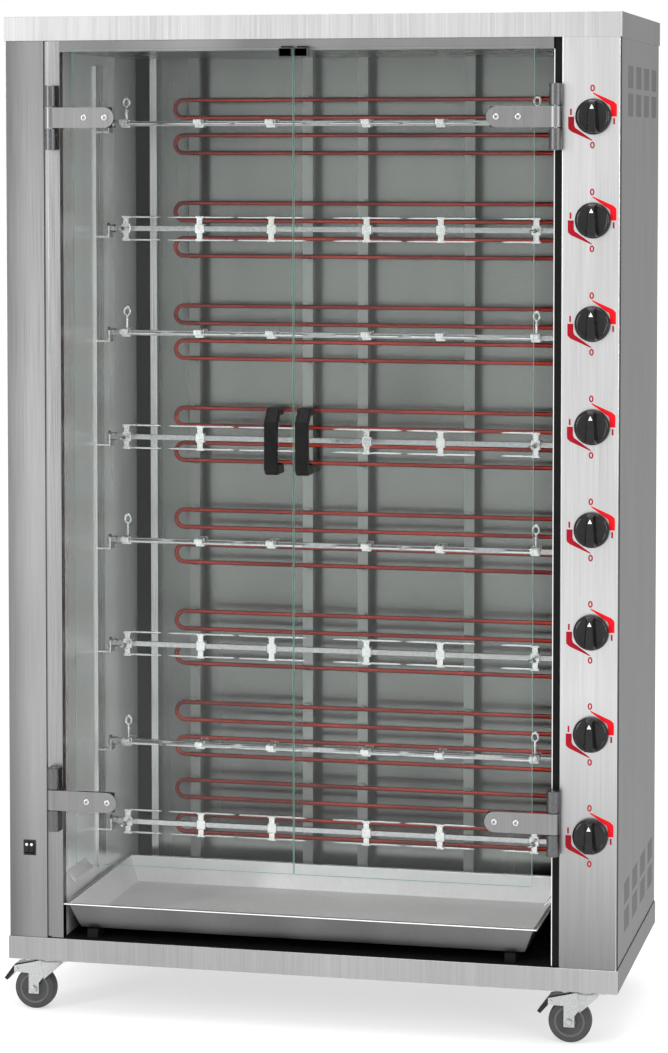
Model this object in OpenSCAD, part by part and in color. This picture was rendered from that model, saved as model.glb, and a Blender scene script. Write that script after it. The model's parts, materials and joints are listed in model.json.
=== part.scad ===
// Free-standing electric rotisserie oven with eight driven spits, eight
// heating elements, two frameless glass doors and four castors.
// Coordinates inside the modules: x from the cabinet's left side, y back
// from its front, z up from the underside of its base.

/* [Cabinet] */
// Overall width of the cabinet
cabinet_w = 1160; // [960:10:1400]
// Overall depth of the cabinet
cabinet_d = 550; // [450:5:660]
// Height from the underside of the base to the top of the cap
cabinet_h = 1778; // [1480:2:2140]
// Height of the top cap
cap_h = 45; // [30:1:70]
// Height of the base plinth
base_h = 43; // [30:1:60]
// Thickness of the sheet metal
sheet = 1.5; // [1:0.1:2]
// Step of the walls behind the edges of the cap and base
reveal = 2; // [1:0.5:4]
// Width of the flange turned inwards under the cap and over the base
flange_w = 20; // [12:1:30]

/* [Front layout] */
// Width of the plain panel on the left
left_panel_w = 76; // [60:1:110]
// Width of the post that carries the left door
left_post_w = 32; // [24:1:50]
// Width of the post that carries the right door
right_post_w = 14; // [10:1:24]
// Width of the control panel on the right
control_w = 109; // [90:1:150]
// Height of the lintel over the door opening
lintel_h = 21; // [15:1:40]

/* [Chamber] */
// Space between the chamber's back wall and the rear of the cabinet
rear_gap = 70; // [50:5:120]
// Depth of the folded corners at the ends of the back wall
corner_d = 18; // [10:1:30]
// Width of the folded corners at the ends of the back wall
corner_w = 14; // [10:1:25]
// Width of the air slot beside each folded corner
slot_w = 40; // [15:1:60]

/* [Doors] */
// Thickness of the glass
glass_t = 6; // [4:0.5:8]
// Gap between the two doors
glass_gap = 2; // [2:0.5:6]
// Distance of the meeting line from the middle of the opening
meeting_shift = -12; // [-30:1:30]
// Gap between the side of the opening and the glass
glass_side_gap = 32; // [26:1:50]
// Height of the lower edge of the glass
glass_bottom = 194; // [170:1:260]
// Gap between the cap and the upper edge of the glass
glass_top_gap = 18; // [10:1:40]
// Distance of the left hinge axis from the left side of the opening
left_hinge_inset = 13; // [10:0.5:16]
// Distance of the right hinge axis from the right side of the opening
right_hinge_inset = 6; // [2:0.5:9]
// Outer radius of a hinge barrel
hinge_r = 12; // [10:0.5:16]
// Gap between a hinge barrel and the front of the cabinet
hinge_gap = 3; // [2:0.5:8]
// Radius of a hinge pin
hinge_pin_r = 4; // [3:0.5:5]
// Height of one hinge knuckle
knuckle_h = 40; // [30:1:50]
// Distance of the upper hinges below the cap
hinge_top_gap = 143; // [110:1:220]
// Height of the lower hinges
hinge_bottom = 311; // [270:1:400]
// Length of a hinge strap from the hinge axis
strap_len = 125; // [110:1:150]
// Thickness of a hinge strap
strap_t = 3; // [2:0.5:4]
// Distances of the strap screws from the hinge axis
strap_screws = [67, 107]; // [50:1:130]
// Radius of the screws through the glass
glass_screw_r = 4; // [3:0.5:5]
// Height of a door handle
handle_h = 120; // [90:1:160]
// Width of a door handle
handle_w = 24; // [18:1:30]
// Distance of the handle's front from the glass
handle_reach = 60; // [40:1:70]
// Thickness of the handle's bar and arms
handle_t = 16; // [12:1:20]
// Distance of the handle's middle from the meeting edge of the glass
handle_inset = 28; // [20:1:60]
// Height of the handle's middle
handle_z = 1000; // [700:5:1200]

/* [Spits] */
// Distance from the front of the cabinet to the spits
spit_y = 240; // [200:5:280]
// Gap between the cap and the highest spit
spit_top_gap = 152; // [140:1:260]
// Height of the lowest spit
spit_bottom = 221; // [205:1:300]
// Distance between the two lowest spits
spit_pitch_last = 157; // [130:1:200]
// Distance between the second and third spits from below
spit_pitch_low = 193; // [130:1:220]
// Side of the square spit bar
bar_w = 10; // [8:0.5:14]
// Radius of a fork's prongs
prong_r = 2.25; // [1.5:0.25:3]
// Distance of the prongs from the spit axis
prong_offset = 22; // [16:0.5:30]
// Gap between the tips of prongs that face each other
prong_gap = 8; // [4:1:30]
// Radius of the spit's neck in its rest
neck_r = 5; // [4:0.25:7]
// Radius of the spit's drive shaft
drive_r = 6; // [5:0.25:8]

/* [Heating elements] */
// Distance of the elements in front of the chamber's back wall
element_gap = 50; // [30:1:70]
// Radius of the heating tube
tube_r = 4.25; // [3:0.25:5]
// Distance between neighbouring runs of the tube
run_pitch = 35; // [28:1:40]
// Gap between the cap and the middle of the highest element
element_top_gap = 156; // [140:1:260]
// Height of the middle of the lowest element
element_bottom = 215; // [160:1:280]
// Distance between the two lowest elements
element_pitch_last = 157; // [140:1:200]
// Distance between the second and third elements from below
element_pitch_low = 184; // [140:1:220]
// Gap between the chamber's left wall and the elements
element_left_gap = 98; // [60:1:140]

/* [Controls] */
// Radius of a control knob
knob_r = 32.5; // [25:0.5:38]
// Distance of a knob's face from the control panel
knob_reach = 25; // [18:0.5:32]
// Distance of the knobs from the cabinet's right side
knob_inset = 51; // [45:0.5:70]
// Gap between the cap and the middle of the highest knob
knob_top_gap = 143; // [100:1:240]
// Height of the lowest knob
knob_bottom = 288; // [200:1:360]
// Radius of a knob's shaft
shaft_r = 4; // [3:0.5:5]
// Width of the power switch
switch_w = 24; // [20:1:34]
// Height of the power switch
switch_h = 29; // [24:1:40]
// Distance of the power switch's middle from the cabinet's left side
switch_x = 42; // [30:1:60]
// Height of the power switch's middle
switch_z = 214; // [120:1:400]
// Travel of a switch rocker, in degrees
rocker_travel = 14; // [8:1:20]

/* [Drip tray] */
// Gap between the chamber's left wall and the tray
tray_left_gap = 2; // [1:0.5:10]
// Gap between the chamber's right wall and the tray
tray_right_gap = 25; // [1:0.5:40]
// Gap between the tray and the chamber's back wall
tray_rear_gap = 55; // [48:1:90]
// Distance of the tray's front edge in front of the cabinet
tray_proud = 3; // [0:0.5:10]
// Height of the tray's wall
tray_h = 50; // [30:1:60]
// Height of the tray's rim
tray_rim_z = 112; // [90:1:140]
// Inward slope of the tray's walls over their height
tray_slope = 20; // [8:1:40]
// Thickness of the tray's sheet
tray_t = 1.5; // [1:0.25:3]
// Width of the tray's rolled rim
tray_rim_w = 6; // [4:0.5:10]

/* [Side vents] */
// Number of vent panels side by side
vent_cols = 4; // [2:1:4]
// Width of one vent panel
vent_w = 66; // [50:1:70]
// Height of one vent panel
vent_h = 41; // [30:1:60]
// Distance of the first vent panel from the front
vent_first = 103; // [60:1:140]
// Distance of the last vent panel from the rear
vent_last = 41; // [30:1:80]
// Distance from one vent panel to the next, upwards
vent_rise = 51; // [45:1:80]
// Gap between the cap and the upper vent panels
vent_top_gap = 49; // [30:1:100]
// Height of the lower vent panels
vent_bottom = 89; // [60:1:140]
// Number of slots in one vent panel
vent_slots = 7; // [4:1:9]
// Width of one slot
vent_slot_w = 4; // [3:0.5:5]

/* [Castors] */
// Radius of a castor wheel
wheel_r = 40; // [32:1:50]
// Space between a castor wheel and the underside of the base
castor_gap = 28; // [24:1:50]
// Width of a castor wheel
wheel_w = 26; // [20:1:32]
// Radius of a castor's axle
axle_r = 5; // [4:0.5:6]
// Radius of a castor's kingpin
kingpin_r = 6; // [5:0.5:8]
// Distance from the swivel axis back to the axle
castor_trail = 30; // [20:1:36]
// Distance of the swivel axis from the cabinet's sides
castor_inset_x = 65; // [55:1:90]
// Distance of the swivel axis from the cabinet's front and rear
castor_inset_y = 60; // [50:1:80]
// Distance of the brake pedal's tip in front of the wheel
pedal_reach = 20; // [16:1:30]

/* [Fits] */
// Radial clearance of a turning shaft or pin in its bore
running_fit = 0.06; // [0.02:0.01:0.1]
// Gap between a fork and the bar it slides on
fork_fit = 0.3; // [0.2:0.1:0.6]
// Radial gap around something that only passes through
pass_gap = 1; // [0.5:0.25:2]
// Gap between parts that slide or turn past each other
slide_gap = 0.4; // [0.3:0.1:1]

/* [Hidden] */
$fn = 48;
SPITS = 8;
LEFT = 0;
RIGHT = 1;

// --- places worked out from the sizes above ---
cap_z = cabinet_h - cap_h;
wall_x0 = reveal;
wall_x1 = cabinet_w - reveal;
wall_y0 = reveal;
wall_y1 = cabinet_d - reveal;
open_x0 = left_panel_w + left_post_w;
open_x1 = cabinet_w - control_w - right_post_w;
chamber_d = cabinet_d - rear_gap;
post_step = 4;
meeting_x = (open_x0 + open_x1) / 2 + meeting_shift;
lintel_z = cap_z - lintel_h;
floor_z = base_h + sheet;

// doors: the straps lie on the glass, a step behind the front of the barrels
hinge_y = wall_y0 - hinge_gap - hinge_r;
hinge_x = [open_x0 - left_hinge_inset, open_x1 + right_hinge_inset];
hinge_z = [hinge_bottom, cap_z - hinge_top_gap];
strap_step = 2;
strap_h = knuckle_h - 2;
turn = [1, -1];
glass_y0 = hinge_y - hinge_r + strap_step + strap_t;
glass_y1 = glass_y0 + glass_t;
glass_top = cap_z - glass_top_gap;
glass_edge = [meeting_x - glass_gap / 2, meeting_x + glass_gap / 2];
glass_side = [open_x0 + glass_side_gap, open_x1 - glass_side_gap];
glass_w = [for (s = [LEFT, RIGHT]) abs(glass_edge[s] - glass_side[s])];
handle_x = [glass_edge[LEFT] - handle_inset, glass_edge[RIGHT] + handle_inset];
screw_clear = 0.5;
backing_t = 2;
strike_t = 1.2;

// heights of the spits, the highest first
spit_top = cap_z - spit_top_gap;
spit_span = spit_top - spit_bottom - spit_pitch_last - spit_pitch_low;
spit_pitch = spit_span / (SPITS - 3);
function row_z(i, top, pitch, low, last) =
    top - min(i, SPITS - 3) * pitch - (i > SPITS - 3 ? low : 0) - (i > SPITS - 2 ? last : 0);
spit_z = [for (i = [0 : SPITS - 1])
    row_z(i, spit_top, spit_pitch, spit_pitch_low, spit_pitch_last)];

// left rail and the rests that hold the spits' necks
rail_w = 48;
rail_t = 4;
rest_t = 3;
rest_w = 26;
rest_reach = 23;
rest_x0 = open_x0 + rail_t + rest_reach - rest_t;
rest_x1 = rest_x0 + rest_t;
rest_drop = 18;

// a spit from left to right
disc_r = 11;
disc_t = 4.5;
collar_r = 8;
collar_len = 9;
bar_x0 = rest_x1 + slide_gap + collar_len;
wall_hole_r = drive_r + 4 + pass_gap;
cup_r = drive_r + 4;
cup_len = 24;
cup_out = 5;
cup_x1 = open_x1 + sheet + cup_out;
bar_x1 = cup_x1 - cup_len;
drive_len = 22;
hub_w = 16;
hub_h = 18;
fork_lead = 14;
fork_tail = 43;
fork_first = bar_x0 + hub_w / 2 + fork_lead;
fork_last = bar_x1 - hub_w / 2 - fork_tail;
fork_span = fork_last - fork_first;
// share of the span from the first fork to each fork
fork_shares = [0, 0.184, 0.361, 0.594, 0.773, 1];
fork_step = fork_span * min([for (i = [1 : 5]) fork_shares[i] - fork_shares[i - 1]]);
prong_tip = (fork_step - prong_gap) / 2;
thumb_r = 2.5;
thumb_len = 20;
eye_r = 7.5;
eye_t = 4;
eye_h = 23;

// gear motors behind the chamber's right wall
motor_x0 = open_x1 + sheet;
gearbox_w = 34;
gearbox_h = 60;
can_r = 22;
can_len = 34;

// heating elements, the highest first
element_top = cap_z - element_top_gap;
element_span = element_top - element_bottom - element_pitch_last - element_pitch_low;
element_pitch = element_span / (SPITS - 3);
element_z = [for (i = [0 : SPITS - 1])
    row_z(i, element_top, element_pitch, element_pitch_low, element_pitch_last)];
element_y = chamber_d - element_gap;
bend_r = run_pitch / 2;
element_x0 = open_x0 + element_left_gap + bend_r + tube_r;
element_x1 = open_x1 - bend_r - tube_r - 6;
terminal_x1 = open_x1 + sheet + 24;
cuff_r = tube_r + 3;
cuff_len = 16;
strap_xs = [for (share = [0.15, 0.4, 0.52, 0.75]) open_x0 + share * (open_x1 - open_x0)];
carrier_w = 20;
carrier_t = 2;
carrier_y0 = element_y + tube_r + slide_gap;

// controls
knob_x = cabinet_w - knob_inset;
knob_top = cap_z - knob_top_gap;
knob_pitch = (knob_top - knob_bottom) / (SPITS - 1);
knob_z = [for (i = [0 : SPITS - 1]) knob_top - i * knob_pitch];
knob_gap = 1;
knob_disc_h = 10;
knob_bar_w = 15;
panel_y1 = wall_y0 + sheet;
cam_w = 44;
cam_d = 42;
shaft_len = 34;
rocker_pivot_y = 5;
rocker_pin_r = 1.5;
rocker_half_h = 9.8;
rocker_well = 1.6;
bezel_t = 1.6;
bezel_rim = 2;
rocker_gap = 0.5;
well_wall = 1;
well_w = (switch_w - 2 * bezel_rim - 3 * well_wall) / 2;
rocker_w = well_w - 2 * rocker_gap;
rocker_x = [-(well_w + well_wall) / 2, (well_w + well_wall) / 2];
housing_d = 24;

// drip tray
tray_x0 = open_x0 + tray_left_gap;
tray_x1 = open_x1 - tray_right_gap;
tray_y0 = -tray_proud;
tray_y1 = chamber_d - tray_rear_gap;
tray_z0 = tray_rim_z - tray_h;
tray_rim_h = 3.5;
guide_w = 20;
guide_inset = 42;
guide_front = 12;
guide_rear = 24;

vent_pitch = (cabinet_d - vent_first - vent_last - vent_w) / (vent_cols - 1);

// castors
castor_h = 2 * wheel_r + castor_gap;
plate_w = 96;
plate_d = 84;
plate_t = 3;
bearing_r = 22;
bearing_h = 9;
fork_gap = 2.5;
fork_t = 3;
head_t = 3;
head_z = -plate_t - bearing_h - slide_gap;
axle_z = wheel_r - castor_h;
fork_y = wheel_w / 2 + fork_gap;
pedal_pivot_x = -castor_trail - wheel_r + 6;
pedal_pivot_z = axle_z + wheel_r - 3;
pedal_pin_r = 3;
castor_xy = [
    [castor_inset_x, castor_inset_y],
    [cabinet_w - castor_inset_x, castor_inset_y],
    [castor_inset_x, cabinet_d - castor_inset_y],
    [cabinet_w - castor_inset_x, cabinet_d - castor_inset_y],
];

// cable gland in the rear panel
gland_x = cabinet_w - 62;
gland_z = 150;
gland_bore_r = 5.5;
gland_thread_r = 9;
gland_nut_r = 13;
gland_nut_t = 6;
gland_dome_r = 10.5;
gland_out = 22;
gland_in = 14;

// the origin is on the floor, under the middle of the whole oven
low_x = min(0, castor_inset_x - castor_trail - wheel_r - pedal_reach);
front_y = glass_y0 - handle_reach;
rear_y = wall_y1 + gland_out;
centre_x = (cabinet_w + low_x) / 2;
centre_y = (front_y + rear_y) / 2;

STEEL = "#c9cbcc";
DARK_STEEL = "#8b9190";
CHAMBER = "#9ba3a0";
BLACK = "#1c1d1e";
GREY = "#6a6d70";
ZINC = "#d5d8da";
COPPER = "#8a3a2b";
GLASS = [0.75, 0.88, 0.84, 0.35];

// --- helpers ---

// places what is drawn in cabinet coordinates
module in_cabinet() {
    translate([-centre_x, -centre_y, castor_h]) children();
}

// a box from its lowest to its highest corner
module block(low, high) {
    translate(low) cube(high - low);
}

// a round bar that starts at a point and runs along x, y or z
module bar_x(at, r, len) {
    translate(at) rotate([0, 90, 0]) cylinder(r = r, h = len);
}

module bar_y(at, r, len) {
    translate(at) rotate([-90, 0, 0]) cylinder(r = r, h = len);
}

module bar_z(at, r, len) {
    translate(at) cylinder(r = r, h = len);
}

// the slots of one vent panel, as a flat drawing with its corner at 0, 0
module vent_drawing() {
    step = (vent_w - vent_slot_w) / (vent_slots - 1);
    for (i = [0 : vent_slots - 1])
        translate([i * step, 0]) square([vent_slot_w, vent_h]);
}

// --- cabinet ---

module base_frame() {
    color(STEEL) in_cabinet()
    difference() {
        block([0, 0, 0], [cabinet_w, cabinet_d, base_h]);
        block([sheet, sheet, sheet],
              [cabinet_w - sheet, cabinet_d - sheet, base_h - sheet]);
        block([flange_w, flange_w, base_h - 2 * sheet],
              [cabinet_w - flange_w, cabinet_d - flange_w, base_h + sheet]);
    }
}

module top_cap() {
    color(STEEL) in_cabinet()
    difference() {
        block([0, 0, cap_z], [cabinet_w, cabinet_d, cabinet_h]);
        block([sheet, sheet, cap_z + sheet],
              [cabinet_w - sheet, cabinet_d - sheet, cabinet_h - sheet]);
        block([flange_w, flange_w, cap_z - sheet],
              [cabinet_w - flange_w, cabinet_d - flange_w, cap_z + 2 * sheet]);
    }
}

module left_front_panel() {
    color(STEEL) in_cabinet()
    difference() {
        union() {
            block([wall_x0 + sheet, wall_y0, base_h], [left_panel_w, panel_y1, cap_z]);
            block([left_panel_w - sheet, panel_y1, base_h],
                  [left_panel_w, wall_y0 + flange_w, cap_z]);
        }
        block([switch_x - switch_w / 2 + bezel_rim, wall_y0 - 1,
               switch_z - switch_h / 2 + bezel_rim],
              [switch_x + switch_w / 2 - bezel_rim, panel_y1 + 1,
               switch_z + switch_h / 2 - bezel_rim]);
    }
}

module left_side_panel() {
    color(STEEL) in_cabinet()
    block([wall_x0, wall_y0, base_h], [wall_x0 + sheet, wall_y1, cap_z]);
}

module right_side_panel() {
    color(DARK_STEEL) in_cabinet()
    difference() {
        block([wall_x1 - sheet, wall_y0, base_h], [wall_x1, wall_y1, cap_z]);
        for (col = [0 : vent_cols - 1], row = [0, 1],
             z = [vent_bottom, cap_z - vent_top_gap - vent_rise - vent_h])
            translate([wall_x1 - sheet - 1, vent_first + col * vent_pitch, z + row * vent_rise])
                rotate([90, 0, 90]) linear_extrude(sheet + 2) vent_drawing();
    }
}

module control_panel() {
    color(STEEL) in_cabinet()
    difference() {
        union() {
            block([cabinet_w - control_w, wall_y0, base_h], [wall_x1 - sheet, panel_y1, cap_z]);
            block([cabinet_w - control_w, panel_y1, base_h],
                  [cabinet_w - control_w + sheet, wall_y0 + flange_w, cap_z]);
        }
        for (z = knob_z)
            bar_y([knob_x, wall_y0 - 1, z], shaft_r + pass_gap, sheet + 2);
    }
}

module rear_panel() {
    color(DARK_STEEL) in_cabinet()
    difference() {
        block([wall_x0 + sheet, wall_y1 - sheet, base_h], [wall_x1 - sheet, wall_y1, cap_z]);
        bar_y([gland_x, wall_y1 - sheet - 1, gland_z], gland_thread_r, sheet + 2);
        for (z = [vent_bottom + 2 * vent_rise + vent_h, cap_z - vent_top_gap - vent_h])
            translate([gland_x - vent_w / 2, wall_y1 + 1, z])
                rotate([90, 0, 0]) linear_extrude(sheet + 2) vent_drawing();
    }
}

// --- chamber ---

module chamber_back() {
    color(CHAMBER) in_cabinet()
    translate([0, 0, floor_z]) linear_extrude(lintel_z - floor_z)
    union() {
        translate([open_x0 + slot_w, chamber_d])
            square([open_x1 - open_x0 - 2 * slot_w, sheet]);
        for (side = [LEFT, RIGHT]) {
            x0 = side == LEFT ? open_x0 + slot_w : open_x1 - slot_w - corner_w;
            translate([x0, chamber_d - corner_d]) square([corner_w, corner_d]);
            outer = side == LEFT ? open_x0 : open_x1 - slot_w - sheet;
            translate([outer, chamber_d + corner_d]) square([slot_w + sheet, sheet]);
            riser = side == LEFT ? open_x0 + slot_w : open_x1 - slot_w - sheet;
            translate([riser, chamber_d]) square([sheet, corner_d]);
        }
    }
}

module chamber_left_wall() {
    color(CHAMBER) in_cabinet()
    block([open_x0 - sheet, wall_y0 + flange_w, floor_z],
          [open_x0, chamber_d + corner_d + sheet, lintel_z]);
}

module chamber_right_wall() {
    color(CHAMBER) in_cabinet()
    difference() {
        block([open_x1, wall_y0 + post_step, floor_z],
              [open_x1 + sheet, chamber_d + corner_d + sheet, lintel_z]);
        for (z = spit_z)
            bar_x([open_x1 - 1, spit_y, z], wall_hole_r, sheet + 2);
        for (z = element_z, side = [-1, 1])
            bar_x([open_x1 - 1, element_y, z + side * 1.5 * run_pitch],
                  tube_r + pass_gap, sheet + 2);
    }
}

module chamber_ceiling() {
    color(CHAMBER) in_cabinet()
    union() {
        block([open_x0 - sheet, wall_y0 + flange_w, lintel_z],
              [open_x1 + sheet, chamber_d + corner_d + sheet, lintel_z + sheet]);
        block([open_x0, wall_y0, lintel_z],
              [open_x1, wall_y0 + flange_w + sheet, lintel_z + sheet]);
        block([open_x0, wall_y0, lintel_z], [open_x1, wall_y0 + sheet, cap_z]);
    }
}

module chamber_floor() {
    color(BLACK) in_cabinet()
    block([left_panel_w, wall_y0, base_h],
          [cabinet_w - control_w, chamber_d + corner_d + sheet, floor_z]);
}

// the left post has a stepped face, the right one is a plain dark angle
module door_posts() {
    step_w = 10;
    color(DARK_STEEL) in_cabinet()
    translate([0, 0, floor_z]) linear_extrude(cap_z - floor_z) {
        translate([left_panel_w, wall_y0 + post_step]) square([step_w, sheet]);
        translate([left_panel_w + step_w - sheet, wall_y0]) square([sheet, post_step]);
        translate([left_panel_w + step_w - sheet, wall_y0])
            square([left_post_w - step_w + sheet, sheet]);
        translate([open_x0 - sheet, wall_y0]) square([sheet, flange_w]);
        translate([open_x1 + sheet, wall_y0 + post_step])
            square([right_post_w - sheet, sheet]);
        translate([cabinet_w - control_w - sheet, wall_y0 + post_step])
            square([sheet, flange_w - post_step]);
    }
}

// --- spit rests, motors and elements ---

module spit_rest(z) {
    difference() {
        union() {
            block([rest_x0, spit_y - rest_w / 2, z - rest_drop],
                  [rest_x1, spit_y + rest_w / 2, z + neck_r]);
            block([open_x0 + rail_t, spit_y - rest_w / 2, z - rest_drop],
                  [rest_x0, spit_y + rest_w / 2, z - rest_drop + rest_t]);
        }
        bar_x([rest_x0 - 1, spit_y, z], neck_r + slide_gap, rest_t + 2);
        block([rest_x0 - 1, spit_y - neck_r - slide_gap, z],
              [rest_x1 + 1, spit_y + neck_r + slide_gap, z + neck_r + 1]);
    }
}

module spit_rests() {
    rail_margin = 20;
    color(STEEL) in_cabinet()
    union() {
        block([open_x0, spit_y - rail_w / 2, tray_rim_z + rail_margin],
              [open_x0 + rail_t, spit_y + rail_w / 2, lintel_z - rail_margin]);
        for (z = spit_z) spit_rest(z);
    }
}

module spit_motor(z) {
    difference() {
        union() {
            block([motor_x0, spit_y - gearbox_h / 2, z - gearbox_h / 2],
                  [motor_x0 + gearbox_w, spit_y + gearbox_h / 2, z + gearbox_h / 2]);
            bar_x([motor_x0 + gearbox_w, spit_y, z], can_r, can_len);
        }
        bar_x([motor_x0 - 1, spit_y, z], wall_hole_r, cup_out + slide_gap + 1);
        bar_x([motor_x0, spit_y, z], drive_r + running_fit, cup_out + drive_len + 1);
    }
}

module spit_motors() {
    color(GREY) in_cabinet()
    for (z = spit_z) spit_motor(z);
}

module heating_element(z) {
    outer = 1.5 * run_pitch;
    union() {
        for (side = [-1, 1]) {
            bar_x([element_x0, element_y, z + side * outer], tube_r, terminal_x1 - element_x0);
            bar_x([open_x1 + sheet, element_y, z + side * outer], cuff_r, cuff_len);
            bar_x([element_x0, element_y, z + side * bend_r], tube_r, element_x1 - element_x0);
            translate([element_x0, element_y, z + side * run_pitch])
                rotate([90, 0, 0]) rotate([0, 0, 90])
                rotate_extrude(angle = 180) translate([bend_r, 0]) circle(r = tube_r);
        }
        translate([element_x1, element_y, z])
            rotate([90, 0, 0]) rotate([0, 0, -90])
            rotate_extrude(angle = 180) translate([bend_r, 0]) circle(r = tube_r);
    }
}

module heating_elements() {
    color(COPPER) in_cabinet()
    for (z = element_z) heating_element(z);
}

// upright bars behind the elements, with a pair of lugs over and under each one
module element_carriers() {
    lug_h = 3;
    color(STEEL) in_cabinet()
    for (x = strap_xs)
        union() {
            block([x - carrier_w / 2, carrier_y0, floor_z],
                  [x + carrier_w / 2, carrier_y0 + carrier_t, lintel_z]);
            for (z = element_z, side = [-1, 1]) {
                lug_z = z + side * (1.5 * run_pitch + tube_r + slide_gap + lug_h / 2);
                block([x - carrier_w / 4, element_y - tube_r, lug_z - lug_h / 2],
                      [x + carrier_w / 4, carrier_y0, lug_z + lug_h / 2]);
            }
        }
}

// --- spits ---

// an eye on a stem, the stem starting at z = 0
module thumb_screw() {
    stem = thumb_len + eye_r;
    bar_z([0, 0, 0], thumb_r, thumb_len + 2);
    translate([0, eye_t / 2, 0]) rotate([90, 0, 0]) linear_extrude(eye_t)
    difference() {
        union() {
            translate([0, stem]) circle(r = eye_r);
            translate([0, thumb_len + eye_h - eye_r]) circle(r = eye_r);
            translate([-eye_r, stem]) square([2 * eye_r, eye_h - 2 * eye_r]);
        }
        translate([0, thumb_len + eye_h - eye_r]) circle(r = eye_r / 2);
    }
}

// a fork whose prongs run from x + prong_tip * dirs, above and below the bar
module spit_fork(x, dirs, has_screw) {
    plate_t = 3;
    hole_w = bar_w + 2 * fork_fit;
    difference() {
        union() {
            block([x - hub_w / 2, -hub_h / 2, -hub_h / 2], [x + hub_w / 2, hub_h / 2, hub_h / 2]);
            block([x - hub_w / 2, -hub_h / 2, -prong_offset],
                  [x + hub_w / 2, -hub_h / 2 + plate_t, prong_offset]);
            for (side = [-1, 1])
                block([x - hub_w / 2, -hub_h / 2, side * prong_offset - prong_r],
                      [x + hub_w / 2, prong_r, side * prong_offset + prong_r]);
            for (side = [-1, 1], dir = dirs)
                bar_x([dir > 0 ? x : x - prong_tip, 0, side * prong_offset], prong_r, prong_tip);
            if (has_screw)
                translate([x, -hub_h / 2 + 1, 0]) rotate([90, 0, 0]) thumb_screw();
        }
        block([x - hub_w, -hole_w / 2, -hole_w / 2], [x + hub_w, hole_w / 2, hole_w / 2]);
    }
}

// the bar with its grooved end and its drive cup
module spit_bar() {
    union() {
        bar_x([rest_x0 - slide_gap - disc_t, 0, 0], disc_r, disc_t);
        bar_x([rest_x0 - slide_gap, 0, 0], neck_r, rest_t + 2 * slide_gap + 1);
        bar_x([rest_x1 + slide_gap, 0, 0], collar_r, collar_len);
        block([bar_x0 - 1, -bar_w / 2, -bar_w / 2], [bar_x1 + 1, bar_w / 2, bar_w / 2]);
        bar_x([bar_x1, 0, 0], cup_r, cup_len);
        bar_x([bar_x1 + cup_len - 1, 0, 0], drive_r, drive_len + 1);
    }
}

module spit(number) {
    quarter_turn = number % 2 == 1 ? -90 : 0;
    last = len(fork_shares) - 1;
    color(STEEL) in_cabinet()
    translate([0, spit_y, spit_z[number - 1]]) rotate([quarter_turn, 0, 0]) {
        spit_bar();
        for (i = [0 : last]) {
            dirs = i == 0 ? [1] : i == last ? [-1] : [-1, 1];
            spit_fork(fork_first + fork_shares[i] * fork_span, dirs, i == 0 || i == last);
        }
    }
}

// --- doors ---

module hinge_block(side, z) {
    x = hinge_x[side];
    foot_x1 = side == LEFT ? x + hinge_r : cabinet_w - control_w - pass_gap;
    back_y = side == LEFT ? wall_y0 : wall_y0 + post_step;
    for (step = [-1, 1])
        translate([0, 0, z + step * knuckle_h - knuckle_h / 2])
        difference() {
            union() {
                bar_z([x, hinge_y, slide_gap], hinge_r, knuckle_h - 2 * slide_gap);
                block([x - hinge_r, hinge_y, slide_gap], [foot_x1, back_y, knuckle_h - slide_gap]);
            }
            bar_z([x, hinge_y, -1], hinge_pin_r, knuckle_h + 2);
        }
}

module hinge_blocks() {
    color(STEEL) in_cabinet()
    for (side = [LEFT, RIGHT], z = hinge_z) hinge_block(side, z);
}

module hinge_pins() {
    color(ZINC) in_cabinet()
    for (side = [LEFT, RIGHT], z = hinge_z)
        bar_z([hinge_x[side], hinge_y, z - 1.5 * knuckle_h], hinge_pin_r, 3 * knuckle_h);
}

// two catches on the lintel, one for each door
module door_magnets() {
    magnet_w = 20;
    magnet_t = wall_y0 - glass_y1 - strike_t - slide_gap;
    color(BLACK) in_cabinet()
    for (side = [LEFT, RIGHT]) {
        x = glass_edge[side] - turn[side] * 14;
        block([x - magnet_w / 2, wall_y0 - magnet_t, glass_top - 14],
              [x + magnet_w / 2, wall_y0, lintel_z + 8]);
    }
}

module door_glass(side) {
    x0 = min(glass_side[side], glass_edge[side]);
    color(GLASS) in_cabinet()
    difference() {
        block([x0, glass_y0, glass_bottom], [x0 + glass_w[side], glass_y1, glass_top]);
        for (z = hinge_z, reach = strap_screws)
            bar_y([hinge_x[side] + turn[side] * reach, glass_y0 - 1, z],
                  glass_screw_r + screw_clear, glass_t + 2);
        for (step = [-1, 1])
            bar_y([handle_x[side], glass_y0 - 1, handle_z + step * (handle_h - handle_t) / 2],
                  glass_screw_r + screw_clear, glass_t + 2);
    }
}

// strap with its rounded end, its knuckle, its screws and the plate behind the glass
module door_strap(side, z) {
    head_r = 5.5;
    head_t = 2.2;
    translate([hinge_x[side], 0, z]) mirror([side == LEFT ? 0 : 1, 0, 0]) {
        difference() {
            union() {
                bar_z([0, hinge_y, -strap_h / 2], hinge_r, strap_h);
                block([0, glass_y0 - strap_t, -strap_h / 2],
                      [strap_len - strap_h / 2, glass_y0, strap_h / 2]);
                bar_y([strap_len - strap_h / 2, glass_y0 - strap_t, 0], strap_h / 2, strap_t);
            }
            bar_z([0, hinge_y, -strap_h], hinge_pin_r + running_fit, 2 * strap_h);
        }
        block([strap_screws[0] - strap_h / 2, glass_y1, -strap_h / 2],
              [strap_screws[1] + strap_h / 3, glass_y1 + backing_t, strap_h / 2]);
        for (reach = strap_screws) {
            bar_y([reach, glass_y0, 0], glass_screw_r, glass_t);
            bar_y([reach, glass_y0 - strap_t - head_t, 0], head_r, head_t);
        }
    }
}

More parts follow.
